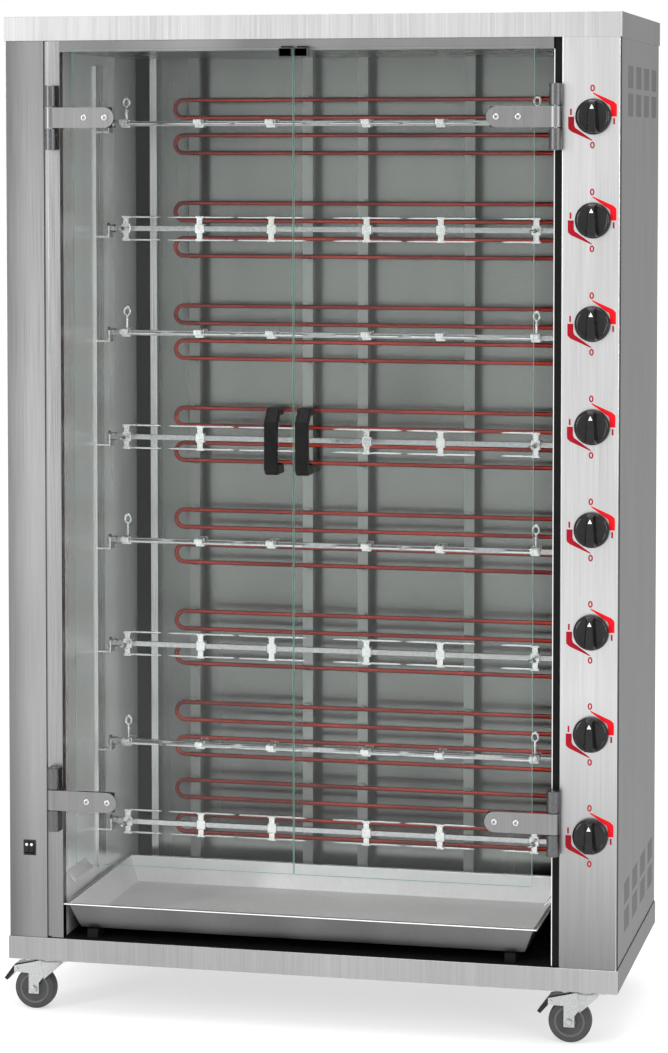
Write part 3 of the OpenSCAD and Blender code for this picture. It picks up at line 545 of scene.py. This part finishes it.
# Painted shade: the left post darkens towards the floor.
POST_STEEL = brushed("post_steel", (0.31, 0.31, 0.31), (0.41, 0.41, 0.41), 0.22, 0.36, 1.0, 0.7)
STRAP_STEEL = brushed("strap_steel", (0.235, 0.235, 0.235), (0.3, 0.3, 0.3), 0.3, 0.42, 0.4)
# Painted shade: the chamber sheet darkens towards the floor, with a painted reflection of the tray
# low down.
CHAMBER = mirror_sheet("chamber_sheet", (0.18, 0.187, 0.181), (0.24, 0.248, 0.24), 0.2, 0.28,
                       1.0, 0.62, 3.4)
WALL = mirror_sheet("chamber_wall_sheet", (0.8, 0.81, 0.805), (0.9, 0.91, 0.905), 0.25, 0.34, 0.4)
CARRIER = mirror_sheet("carrier_sheet", (0.22, 0.23, 0.22), (0.28, 0.29, 0.28), 0.3, 0.4, 0.7)
LINTEL = mirror_sheet("lintel_sheet", (0.2, 0.2, 0.2), (0.27, 0.27, 0.27), 0.3, 0.4)
TRAY = mirror_sheet("tray_sheet", (0.88, 0.88, 0.88), (0.95, 0.95, 0.95), 0.34, 0.46, 0.15)
# A shaded copy of the tray sheet for its down-facing faces: painted shade.
TRAY_SHADE = mirror_sheet("tray_shaded_sheet", (0.14, 0.14, 0.14), (0.2, 0.2, 0.2), 0.34, 0.46)
CHROME = plated("spit_chrome", (0.5, 0.505, 0.51), (0.64, 0.645, 0.65), 0.08, 0.18)
BAR = plated("spit_bar", (0.32, 0.325, 0.33), (0.44, 0.445, 0.45), 0.12, 0.22)
FORK_CAST = plated("fork_cast", (0.6, 0.6, 0.6), (0.78, 0.78, 0.78), 0.2, 0.34)
SATIN = plated("satin_plate", (0.1, 0.1, 0.103), (0.16, 0.16, 0.163), 0.3, 0.45)
ZINC = plated("zinc_plate", (0.42, 0.425, 0.43), (0.54, 0.545, 0.55), 0.2, 0.34)
CASING = plated("cast_casing", (0.4, 0.41, 0.42), (0.52, 0.53, 0.54), 0.4, 0.6)
BLACK = moulded("black_plastic", (0.007, 0.007, 0.007), 0.14, 0.24, 0.015)
HANDLE = moulded("handle_plastic", (0.005, 0.005, 0.005), 0.24, 0.36, 0.015, 0.12)
# Near black: the right post and strap insets, and painted shade in slots, recesses, joints and under
# the tray.
BLACK_AND_SHADE = moulded("black_and_painted_shade", (0.004, 0.004, 0.004), 0.5, 0.7, 0.03, 0.1)
GREY = moulded("grey_plastic", (0.09, 0.09, 0.093), 0.45, 0.6)
TUBE = heated_tube()
GLASS = door_glass()
EDGE = glass_edge()
RUBBER = tyre_rubber()
RED = printed("red_ink", (0.72, 0.002, 0.008))
CRIMSON = printed("crimson_ink", (0.36, 0.001, 0.012))
WHITE = printed("white_ink", (0.85, 0.85, 0.85))


# ---------------------------------------------------------------- cabinet


def refinish(node, material):
    """A new finish for a frame node whose shape stays as it is."""
    node_object = frame["nodes"][node]
    for slot in node_object.material_slots:
        slot.material = material


def soft_sheet(node, material, slot, width=0.5, segments=2, name=None, keep=None):
    """A sheet or block from the frame with its edges rounded."""
    piece = round_edges(from_node(name or f"{node}_sheet", node, keep), width * MM, segments)
    return ready(piece, "cabinet", material, slot, node)


def cabinet():
    right_side = lambda at, way: way.x > 0.7 and at.x > SIDE[0].x
    corner = lambda at, way: way.x > 0.3 and way.y < -0.3 and at.y < FRONT + 4 * MM
    base = soft_sheet("base_frame", BASE_STEEL, "brushed_steel", 2.4, 3)
    cap = soft_sheet("top_cap", CAP_STEEL, "brushed_steel", 2.0, 3)
    # Painted shade on the right-facing faces of the base and cap, and a painted highlight on their
    # front right corner.
    for piece in (base, cap):
        paint(paint(piece, SHADED_SIDE_STEEL, right_side), BRIGHT_AND_HIGHLIGHT_STEEL, corner)
    # A painted highlight along the base's top front edge.
    paint(base, BRIGHT_AND_HIGHLIGHT_STEEL, lambda at, way: way.z > 0.3 and way.y < -0.3)
    soft_sheet("left_front_panel", LEFT_STEEL, "brushed_steel")
    for node in ("left_side_panel", "rear_panel"):
        soft_sheet(node, STEEL, "brushed_steel")
    # The right side panel takes the shaded steel, and the walls of its vent slots are near black:
    # painted shade.
    side = soft_sheet("right_side_panel", SHADED_SIDE_STEEL, "brushed_steel", 0.3, 1)
    within = lambda at: all(SIDE[0][i] + 5 * MM < at[i] < SIDE[1][i] - 5 * MM for i in (1, 2))
    paint(side, BLACK_AND_SHADE, lambda at, way: within(at) and abs(way.x) < 0.5)
    # A near-black strip along the joint of side panel and base: a painted shadow line.
    joint_shadow = block("side_joint_shadow", (SIDE[1].x - 0.5 * MM, FRONT + 6 * MM, BASE[1].z - 0.2 * MM),
                 (SIDE[1].x + 0.4 * MM, SIDE[1].y - 1 * MM, BASE[1].z + 2.4 * MM))
    ready(round_edges(joint_shadow, 0.2 * MM), "cabinet", BLACK_AND_SHADE, "black_plastic")
    refinish("heating_elements", TUBE)
    refinish("spit_motors", CASING)
    refinish("switchgear", GREY)
    refinish("hinge_pins", ZINC)


def chamber():
    back = soft_sheet("chamber_back", CHAMBER, "chamber_steel", 0.4)
    low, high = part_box("chamber_back")
    # A painted highlight on the front faces of the corner folds, and painted shade in the recesses
    # at both ends.
    corner_face = low.y + 3 * MM
    recess = high.y - 4 * MM
    paint(back, BRIGHT_AND_HIGHLIGHT_STEEL, lambda at, way: at.y < corner_face and way.y < -0.2)
    paint(back, BLACK_AND_SHADE, lambda at, way: at.y > recess and way.y < -0.5)
    for node in ("chamber_left_wall", "chamber_right_wall"):
        soft_sheet(node, WALL, "chamber_steel", 0.4)
    ceiling = soft_sheet("chamber_ceiling", CHAMBER, "chamber_steel", 0.4)
    paint(ceiling, LINTEL, lambda at, way: way.y < -0.5)
    # Painted shade: the chamber floor and the tray guides below the tray rim are near black.
    soft_sheet("chamber_floor", BLACK_AND_SHADE, "chamber_steel", 0.3)
    guides = soft_sheet("tray_guides", BLACK_AND_SHADE, "chamber_steel", 0.4)
    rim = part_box("drip_tray")[1].z
    paint(guides, WALL, lambda at, way: at.z > rim)
    soft_sheet("element_carriers", CARRIER, "chamber_steel", 0.3)
    soft_sheet("spit_rests", BRIGHT_AND_HIGHLIGHT_STEEL, "chamber_steel", 0.4)


def control_column():
    """The control panel is folded round the front corner of the cabinet."""
    fold = 12 * MM
    high = Vector((SIDE[1].x, FRONT + fold, PANEL[1].z))
    piece = block("control_panel_sheet", PANEL[0], high)
    bevel_edges(piece, 3.2 * MM, 5, lambda at, way: abs(way.z) > 0.9 and at.y < FRONT + 0.1 * MM)
    choose(piece, "faces", lambda at, way: abs(way.z) > 0.9 or way.y > 0.9)
    bpy.ops.mesh.delete(type="FACE")
    done()
    modify(piece, "SOLIDIFY", thickness=1.4 * MM, offset=-1)
    ready(smooth(piece), "cabinet", PANEL_STEEL, "brushed_steel", "control_panel")
    # A painted highlight on the folded front corner.
    paint(piece, BRIGHT_AND_HIGHLIGHT_STEEL, lambda at, way: way.x > 0.25 and way.y < -0.25)


def posts():
    middle = (PANEL[0].x + BASE[0].x) / 2
    left = round_edges(from_node("left_post", "door_posts", lambda p: p.x < middle), 0.7 * MM, 2)
    ready(left, "cabinet", POST_STEEL, "post_steel", "door_posts")
    right = round_edges(from_node("right_post", "door_posts", lambda p: p.x > middle), 0.3 * MM)
    ready(right, "cabinet", BLACK_AND_SHADE, "post_steel", "door_posts")


def vents():
    """A near-black plate behind each field of slots, painted shade so that the slots read as deep.
    """
    low, high = SIDE
    inner = low.x - 2.5 * MM
    for name, z0, z1 in (("upper", high.z - 150 * MM, high.z - 40 * MM),
                         ("lower", low.z + 36 * MM, low.z + 146 * MM)):
        shade_plate = block(f"vent_shade_{name}", (inner - 1 * MM, low.y + 90 * MM, z0),
                       (inner, high.y - 25 * MM, z1))
        ready(round_edges(shade_plate, 0.3 * MM, 1), "cabinet", BLACK_AND_SHADE, "brushed_steel")


# ---------------------------------------------------------------- doors


def hinges():
    piece = round_edges(from_node("hinge_knuckles", "hinge_blocks"), 0.9 * MM, 3)
    ready(piece, "cabinet", SATIN, "hinge_metal", "hinge_blocks")
    catches = round_edges(from_node("door_catches", "door_magnets"), 0.8 * MM, 2)
    ready(catches, "cabinet", BLACK, "black_plastic", "door_magnets")


def screw(name, place, way, r, h):
    """A round-headed screw with a socket, its head on a surface."""
    rings = [(0, r), (0.45 * h, r), (0.8 * h, 0.86 * r), (h, 0.66 * r), (h, 0.44 * r),
             (0.35 * h, 0.42 * r)]
    return smooth(turned(name, place, way, rings, 24), 30)


def door(side, towards):
    """The glass, straps, screws and handle of one door; towards points from hinge to edge."""
    body = f"{side}_door"
    strap_t, strike_zone = 3 * MM, 60 * MM
    pin_r, pin_half = 4 * MM, 60 * MM
    screw_reaches = (67 * MM, 107 * MM)
    glass = round_edges(from_node(f"{side}_glass", f"{side}_door_glass"), 0.8 * MM, 2)
    glass.data.materials.append(GLASS)
    glass.data.materials.append(EDGE)
    for face in glass.data.polygons:
        face.material_index = 0 if abs(face.normal.y) > 0.95 else 1
    ready(glass, body, None, "clear_glass", f"{side}_door_glass")

    straps = round_edges(from_node(f"{side}_straps", f"{side}_door_straps"), 0.6 * MM, 3)
    ready(straps, body, STRAP_STEEL, "hinge_metal", f"{side}_door_straps")
    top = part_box(f"{side}_door_glass")[1].z - strike_zone
    choose(straps, "faces", lambda at, way: at.z > top and way.y < -0.9)
    bpy.ops.mesh.inset(thickness=1.5 * MM, depth=0)
    done()
    inner = {face.index for face in straps.data.polygons if face.select}
    straps.data.materials.append(BLACK_AND_SHADE)
    for number in inner:
        straps.data.polygons[number].material_index = 1

    glass_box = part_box(f"{side}_door_glass")
    outer_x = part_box("hinge_pins")[0 if side == "left" else 1].x
    axis_x = outer_x + towards * pin_r
    pin_low, pin_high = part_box("hinge_pins")
    heads = []
    strap_face = glass_box[0].y - strap_t
    for z in (pin_low.z + pin_half, pin_high.z - pin_half):
        for reach in screw_reaches:
            place = Vector((axis_x + towards * reach, strap_face + 0.2 * MM, z))
            heads.append(screw("screw", place, -Y, 6.0 * MM, 3.2 * MM))
    ready(join(f"{side}_strap_screws", heads), body, CHROME, "hinge_metal")
    ready(handle(side), body, HANDLE, "black_plastic", f"{side}_door_handle")


def handle(side):
    """A bridge handle: its upper arm slopes back to the glass, its lower one turns a corner."""
    low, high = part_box(f"{side}_door_handle")
    front, back = low.y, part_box(f"{side}_door_glass")[0].y
    bottom, top = low.z, high.z
    deep = (back - front) / MM
    upper = [(0, -24), (24, 0), (deep, 0), (deep, -15), (31, -15), (16, -30)]
    lower = [(16, 21), (22, 15), (deep, 15), (deep, 0), (10, 0), (0, 10)]
    side_view = [(low.x, front + y * MM, end + z * MM)
                 for end, part in ((top, upper), (bottom, lower)) for y, z in part]
    piece = profile(f"{side}_handle", side_view, X * (high.x - low.x))
    round_edges(piece, 2.4 * MM, 4, 25)
    fixings = round_edges(from_node("fixings", f"{side}_door_handle",
                                    lambda p: p.y > back + 0.1 * MM), 0.5 * MM)
    return join(f"{side}_handle", [piece, fixings])


# ---------------------------------------------------------------- controls


def knob(middle):
    """A round skirt with a raised grip that widens downwards, and its white pointer."""
    back = FRONT - 1 * MM
    centre = Vector((middle.x, back, middle.z))
    r = 32.5 * MM
    skirt = turned("knob_skirt", centre, -Y, [
        (-30 * MM, 4 * MM), (0, 4 * MM), (0, r - 1.2 * MM), (0.8 * MM, r - 0.2 * MM),
        (3 * MM, r), (6.4 * MM, r - 0.3 * MM), (9 * MM, r - 2.6 * MM), (10 * MM, r - 6 * MM),
        (9.2 * MM, r - 8 * MM), (8.8 * MM, r - 14 * MM)], 64)
    smooth(skirt, 35)
    face = 24 * MM
    grip = block("knob_grip", centre + Vector((-13 * MM, -face, -29.5 * MM)),
                 centre + Vector((13 * MM, -8 * MM, 30.5 * MM)))
    front = lambda p: p.y < back - 20 * MM
    top = lambda p: p.z > middle.z
    scale_points(grip, (0.56, 1, 0.97), centre, front)
    scale_points(grip, (0.62, 1, 1), centre, top)
    scale_points(grip, (1, 1, 0.88), centre, lambda p: front(p) and top(p))
    bevel_edges(grip, 3.5 * MM, 4, lambda at, way: front(at) and abs(way.x) > 0.9)
    round_edges(grip, 1.1 * MM, 3, 20)
    pointer = plate("knob_pointer", [
        (centre.x - 3.8 * MM, centre.z + 14 * MM), (centre.x + 3.8 * MM, centre.z + 14 * MM),
        (centre.x, centre.z + 22 * MM)], back - face - 0.15 * MM, 0.4 * MM)
    for piece in (skirt, grip):
        piece.data.materials.append(BLACK)
    pointer.data.materials.append(WHITE)
    return join("knob_1_cap", [skirt, grip, pointer])


def ring_mark(x, z, width, height, stroke):
    """An upright oval outline."""
    deselect()
    centre = (x, FRONT - 0.12 * MM, z)
    bpy.ops.mesh.primitive_circle_add(vertices=16, radius=width / 2, fill_type="NGON",
                                      location=centre, rotation=(math.pi / 2, 0, 0))
    piece = scale_points(named("mark_off"), (1, 1, height / width), centre, lambda p: True)
    choose(piece, "faces", lambda at, way: True)
    bpy.ops.mesh.inset(thickness=stroke, depth=0)
    bpy.ops.mesh.delete(type="FACE")
    done()
    return modify(piece, "SOLIDIFY", thickness=0.12 * MM, offset=0)


def legend(number, middle):
    """Off and on marks, and the two wedges that lead from one to the other."""
    x, z = middle.x - 2 * MM, middle.z
    y, film = FRONT - 0.15 * MM, 0.2 * MM
    marks = [ring_mark(x, z + side * 51 * MM, 8.5 * MM, 12.5 * MM, 2.5 * MM) for side in (-1, 1)]
    for side in (-1, 1):
        at = Vector((x + side * 39 * MM, y, z - side * 8.5 * MM))
        size = Vector((1.6 * MM, film / 2, 5.5 * MM))
        marks.append(block("mark_on", at - size, at + size))
    ready(join(f"legend_{number}_marks", marks), "cabinet", CRIMSON, "black_plastic")
    wedge = [(0, 42.5), (1.5, 43), (38, 27), (43.5, 22), (44, 17), (44, 0), (33, 0), (33, 15),
             (31, 20), (0.5, 41.5)]
    for side, ink, name in ((1, RED, "right"), (-1, CRIMSON, "left")):
        outline = [(x + side * a * MM, z + side * b * MM) for a, b in wedge]
        ready(plate(f"legend_{number}_{name}_wedge", outline, y, film), "cabinet", ink,
              "black_plastic")


def controls():
    first = middle_of(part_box("knob_1"))
    cap = knob(first)
    for number in range(1, SPITS + 1):
        middle = middle_of(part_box(f"knob_{number}"))
        move = Matrix.Translation((0, 0, middle.z - first.z))
        piece = cap if number == 1 else copied(cap, f"knob_{number}_cap", move)
        legend(number, middle)
        if number > 1:
            ready(piece, f"knob_{number}_body", None, "black_plastic", f"knob_{number}")
    ready(cap, "knob_1_body", None, "black_plastic", "knob_1")


def power_switch():
    housing = round_edges(from_node("switch_bezel", "switch_housing"), 0.4 * MM, 2)
    ready(housing, "cabinet", BLACK, "black_plastic", "switch_housing")
    for number in (1, 2):
        node = f"rocker_{number}"
        low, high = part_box(node)
        key = round_edges(from_node(f"{node}_key", node), 0.5 * MM, 2)
        ready(key, f"{node}_body", BLACK, "black_plastic", node)
        place = Vector(((low.x + high.x) / 2, low.y + 1.0 * MM, high.z - 4.6 * MM))
        dot = turned(f"{node}_dot", place, -Y, [(0, 2.6 * MM), (0.7 * MM, 2.6 * MM),
                                                (1.0 * MM, 2.2 * MM)], 24)
        ready(smooth(dot), f"{node}_body", WHITE, "black_plastic")


# ---------------------------------------------------------------- tray


def tray():
    piece = round_edges(from_node("tray_pan", "drip_tray"), 1.3 * MM, 3)
    ready(piece, "drip_tray_body", TRAY, "tray_steel", "drip_tray")
    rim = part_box("drip_tray")[1].z
    # Painted shade on the down-facing faces, and a painted highlight on the rim.
    paint(piece, TRAY_SHADE, lambda at, way: way.z < -0.15)
    paint(piece, BRIGHT_AND_HIGHLIGHT_STEEL, lambda at, way: way.z > 0.3 and at.z > rim - 3 * MM)


# ---------------------------------------------------------------- spits


def thumb_screw():
    """A stem with a pear-shaped eye, standing on z = 0."""
    stem = turned("stem", (0, 0, 0), Z, [
        (0, 2.6 * MM), (14 * MM, 2.6 * MM), (15 * MM, 4.2 * MM), (17.5 * MM, 4.2 * MM),
        (19 * MM, 2.8 * MM), (23 * MM, 2.2 * MM)], 20)
    deselect()
    bpy.ops.mesh.primitive_torus_add(
        location=(0, 0, 31.5 * MM), rotation=(math.pi / 2, 0, 0), major_segments=28,
        minor_segments=10, major_radius=5.9 * MM, minor_radius=2.3 * MM)
    eye = named("eye")
    scale_points(eye, (1, 1, 1.45), (0, 0, 31.5 * MM), lambda p: True)
    scale_points(eye, (0.6, 1, 1), (0, 0, 31.5 * MM), lambda p: p.z < 26 * MM)
    return join("thumb_screw", [smooth(stem), smooth(eye)])


def fork(x, ways, with_screw, reach):
    """A sleeve on the bar with a cross plate and two prongs on each side asked for."""
    half, offset = 8 * MM, 22 * MM
    sleeve = block("sleeve", (x - half - 1 * MM, -8.2 * MM, -9 * MM),
                   (x + half + 1 * MM, 8.2 * MM, 9 * MM))
    parts = [round_edges(sleeve, 1.6 * MM, 3)]
    cross = block("cross", (x - 5.5 * MM, -7.6 * MM, -offset), (x + 5.5 * MM, -5 * MM, offset))
    cross.data.materials.append(FORK_CAST)
    sleeve.data.materials.append(FORK_CAST)
    parts.append(round_edges(cross, 0.6 * MM, 2))
    for side in (-1, 1):
        lug = block("lug", (x - half, -8 * MM, side * offset - 2.2 * MM),
                    (x + half, 2.2 * MM, side * offset + 2.2 * MM))
        lug.data.materials.append(FORK_CAST)
        parts.append(round_edges(lug, 1.0 * MM, 2))
        for way in ways:
            rings = [(4 * MM, 2.2 * MM), (reach - 16 * MM, 2.2 * MM), (reach - 5 * MM, 1.5 * MM),
                     (reach, 0.4 * MM)]
            prong = turned("prong", (x, 0, side * offset), X * way, rings, 16)
            prong.data.materials.append(CHROME)
            parts.append(smooth(prong))
    if with_screw:
        knob_screw = thumb_screw()
        turn = Matrix.Translation((x, -9 * MM, 0)) @ Matrix.Rotation(math.pi / 2, 4, "X")
        knob_screw.data.transform(turn)
        knob_screw.data.materials.append(CHROME)
        parts.append(knob_screw)
    return join("fork", parts)


def spit():
    """The bar, end and cup of one spit lying along x on the axis y = 0, z = 0, where the forks'
    prongs stand above and below.
    """
    low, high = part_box("spit_2")
    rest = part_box("spit_rests")[1].x
    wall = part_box("chamber_right_wall")[0].x
    play, collar, socket = 0.4 * MM, 9 * MM, 17.5 * MM
    bar_start, bar_end = rest + play + collar, wall - socket
    bar = block("bar", (bar_start - 1 * MM, -5 * MM, -5 * MM), (bar_end + 1 * MM, 5 * MM, 5 * MM))
    parts = [round_edges(bar, 0.8 * MM, 2)]
    end = turned("end", (low.x, 0, 0), X, [
        (0, 7 * MM), (0.4 * MM, 9.5 * MM), (1.4 * MM, 11 * MM), (3.4 * MM, 11 * MM),
        (4.5 * MM, 10 * MM), (4.5 * MM, 4.8 * MM), (rest - low.x + 0.4 * MM, 4.8 * MM),
        (rest - low.x + 0.4 * MM, 7.4 * MM), (rest - low.x + 1.4 * MM, 8 * MM),
        (rest - low.x + 8 * MM, 8 * MM), (rest - low.x + 9.4 * MM, 6.8 * MM)], 36)
    parts.append(smooth(end))
    cup = turned("cup", (bar_end, 0, 0), X, [
        (0, 7.5 * MM), (1 * MM, 9 * MM), (2.5 * MM, 10 * MM), (8 * MM, 10 * MM),
        (8.6 * MM, 9.2 * MM), (10 * MM, 9.2 * MM), (10.6 * MM, 10 * MM), (22.5 * MM, 10 * MM),
        (24 * MM, 8.6 * MM), (24 * MM, 6 * MM), (high.x - bar_end, 6 * MM)], 36)
    parts.append(smooth(cup))
    return join("spit_2_bar", parts), bar_start, bar_end


def spits():
    bar, bar_start, bar_end = spit()
    half_sleeve, lead, tail = 8 * MM, 14 * MM, 43 * MM
    first = bar_start + half_sleeve + lead
    last = bar_end - half_sleeve - tail
    shares = (0, 0.184, 0.361, 0.594, 0.773, 1)
    step = shares[2] - shares[1]
    reach = ((last - first) * step - half_sleeve) / 2
    ends = (0, len(shares) - 1)
    forks = []
    for i, share in enumerate(shares):
        ways = (1,) if i == ends[0] else (-1,) if i == ends[1] else (-1, 1)
        forks.append(fork(first + share * (last - first), ways, i in ends, reach))
    set_of_forks = join("spit_2_forks", forks)
    bar.data.materials.append(BAR)
    rest_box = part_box("spit_rests")
    axis_y = (rest_box[0].y + rest_box[1].y) / 2
    for number in range(1, SPITS + 1):
        odd = number % 2 == 1
        place = Matrix.Translation((0, axis_y, joint_place(f"spit_{number}_spin").z))
        turn = Matrix.Rotation(-math.pi / 2 if odd else 0, 4, "X")
        for kind, source in (("bar", bar), ("forks", set_of_forks)):
            piece = copied(source, f"spit_{number}_{kind}_set", place @ turn)
            ready(piece, f"spit_{number}_body", None, "spit_chrome", f"spit_{number}")
    for piece in (bar, set_of_forks):
        bpy.data.objects.remove(piece)


# ---------------------------------------------------------------- castors


def castor(number):
    axle = middle_of(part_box(f"castor_wheel_{number}"))
    wheel_body, fork_body = f"castor_wheel_{number}_body", f"castor_fork_{number}_body"
    start = axle - Y * 13 * MM
    tyre = turned(f"tyre_{number}", start, Y, [(d * MM, r * MM) for d, r in (
        (0.6, 28), (0.1, 29.5), (0, 34), (0.7, 36.8), (2.4, 38.9), (6, 39.8), (13, 40),
        (20, 39.8), (23.6, 38.9), (25.3, 36.8), (26, 34), (25.9, 29.5), (25.4, 28))], 72)
    ready(smooth(tyre, 50), wheel_body, RUBBER, "castor_rubber", f"castor_wheel_{number}")
    hub = turned(f"hub_{number}", axle - Y * 14.5 * MM, Y, [(d * MM, r * MM) for d, r in (
        (0, 8), (0, 11), (3.2, 12.5), (5, 14), (5.4, 21), (3.2, 24), (1.2, 25), (1, 28.6),
        (28, 28.6), (27.8, 25), (25.8, 24), (23.6, 21), (24, 14), (25.8, 12.5), (29, 11),
        (29, 8))], 64)
    ready(smooth(hub, 30), wheel_body, GREY, "castor_rubber")

    node = f"castor_fork_{number}"
    frame_piece = round_edges(from_node(f"fork_{number}_plates", node), 0.7 * MM, 2)
    ready(frame_piece, fork_body, ZINC, "zinc_plate", node)
    pin = joint_place(f"castor_{number}_swivel")
    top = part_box("castor_plates")[0].z - 0.4 * MM
    neck = turned(f"fork_{number}_neck", (pin.x, pin.y, top), -Z, [
        (0, 23.5 * MM), (2 * MM, 24.5 * MM), (5 * MM, 24 * MM), (44 * MM, 19.5 * MM)], 48)
    choose(neck, "faces", lambda at, way: abs(way.z) > 0.95)
    bpy.ops.mesh.delete(type="FACE")
    done()
    cut(neck, (pin.x + 24 * MM, 0, top - 6 * MM), Vector((39, 0, -44)).normalized(),
        clear_outer=True)
    cut(neck, (pin.x - 15 * MM, 0, 0), X, clear_inner=True)
    modify(neck, "SOLIDIFY", thickness=1.6 * MM, offset=-1)
    ready(smooth(neck, 35), fork_body, ZINC, "zinc_plate")
    bolts = []
    for way in (-1, 1):
        face = axle + Y * way * 18.4 * MM
        bolts.append(turned("washer", face, Y * way, [(0, 8 * MM), (1.2 * MM, 8 * MM)], 32))
        bolts.append(turned("nut", face + Y * way * 1.2 * MM, Y * way, [
            (0, 6.6 * MM), (3.4 * MM, 6.6 * MM), (4.2 * MM, 5.6 * MM), (4.2 * MM, 3.6 * MM),
            (5.2 * MM, 3.2 * MM)], 6))
    for piece in bolts:
        round_edges(piece, 0.3 * MM, 1)
    ready(join(f"fork_{number}_bolts", bolts), fork_body, ZINC, "zinc_plate")
    if number <= BRAKED:
        pedal = round_edges(from_node(f"pedal_{number}", f"brake_pedal_{number}"), 1.4 * MM, 3)
        ready(pedal, f"brake_pedal_{number}_body", BLACK, "black_plastic",
              f"brake_pedal_{number}")


def castors():
    soft_sheet("castor_plates", ZINC, "zinc_plate", 0.6)
    for number in range(1, CASTORS + 1):
        castor(number)


def gland():
    soft_sheet("cable_gland", BLACK, "black_plastic", 0.5, 2, "cable_gland_body")


# ---------------------------------------------------------------- studio


def studio():
    deselect()
    bpy.ops.mesh.primitive_plane_add(size=120, location=(0, 0, 0))
    floor = named("studio_floor")
    paper = Finish("studio_paper", (0.6, 0.6, 0.6), roughness=0.9,
                   Emission_Color=(1, 1, 1, 1), Emission_Strength=0.5)
    paper.bump(paper.noise((1, 1, 1), 60, detail=2), 0.05 * MM)
    floor.data.materials.append(paper.material)
    floor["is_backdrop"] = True

    world = bpy.data.worlds.new("studio")
    world.use_nodes = True
    world.node_tree.nodes["Background"].inputs["Color"].default_value = (1, 1, 1, 1)
    world.node_tree.nodes["Background"].inputs["Strength"].default_value = 1.0
    bpy.context.scene.world = world

    lamps = (
        ("left_strip", (-3.2, -4.0, 2.0), (0, 0, 1.0), 0.45, 2.4, 70),
        ("right_strip", (3.4, -2.8, 1.8), (0.3, 0, 1.0), 0.4, 2.2, 30),
        ("overhead", (0.3, -1.8, 4.5), (0, 0, 0.8), 3.0, 3.0, 60),
    )
    for name, place, target, width, height, power in lamps:
        data = bpy.data.lights.new(name, "AREA")
        data.shape = "RECTANGLE"
        data.size = width
        data.size_y = height
        data.energy = power
        lamp = bpy.data.objects.new(name, data)
        lamp.location = place
        lamp.rotation_euler = (Vector(target) - Vector(place)).to_track_quat("-Z", "Y").to_euler()
        lamp.visible_camera = False
        bpy.context.scene.collection.objects.link(lamp)

    data = bpy.data.cameras.new("camera")
    data.lens = 106.83
    data.shift_y = -0.1994
    camera = bpy.data.objects.new("camera", data)
    camera.location = (1.3442, -5.8112, 1.638)
    camera.rotation_euler = (math.pi / 2 - 0.0532, 0, 0.2259)
    bpy.context.scene.collection.objects.link(camera)
    bpy.context.scene.camera = camera
    bpy.context.scene.view_settings.view_transform = "Standard"


studio()
cabinet()
chamber()
control_column()
posts()
vents()
hinges()
door("left", 1)
door("right", -1)
controls()
power_switch()
tray()
spits()
castors()
gland()

({"cad": [list(corner) for corner in cad_bounds],
           "visual": [list(corner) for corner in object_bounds()]})
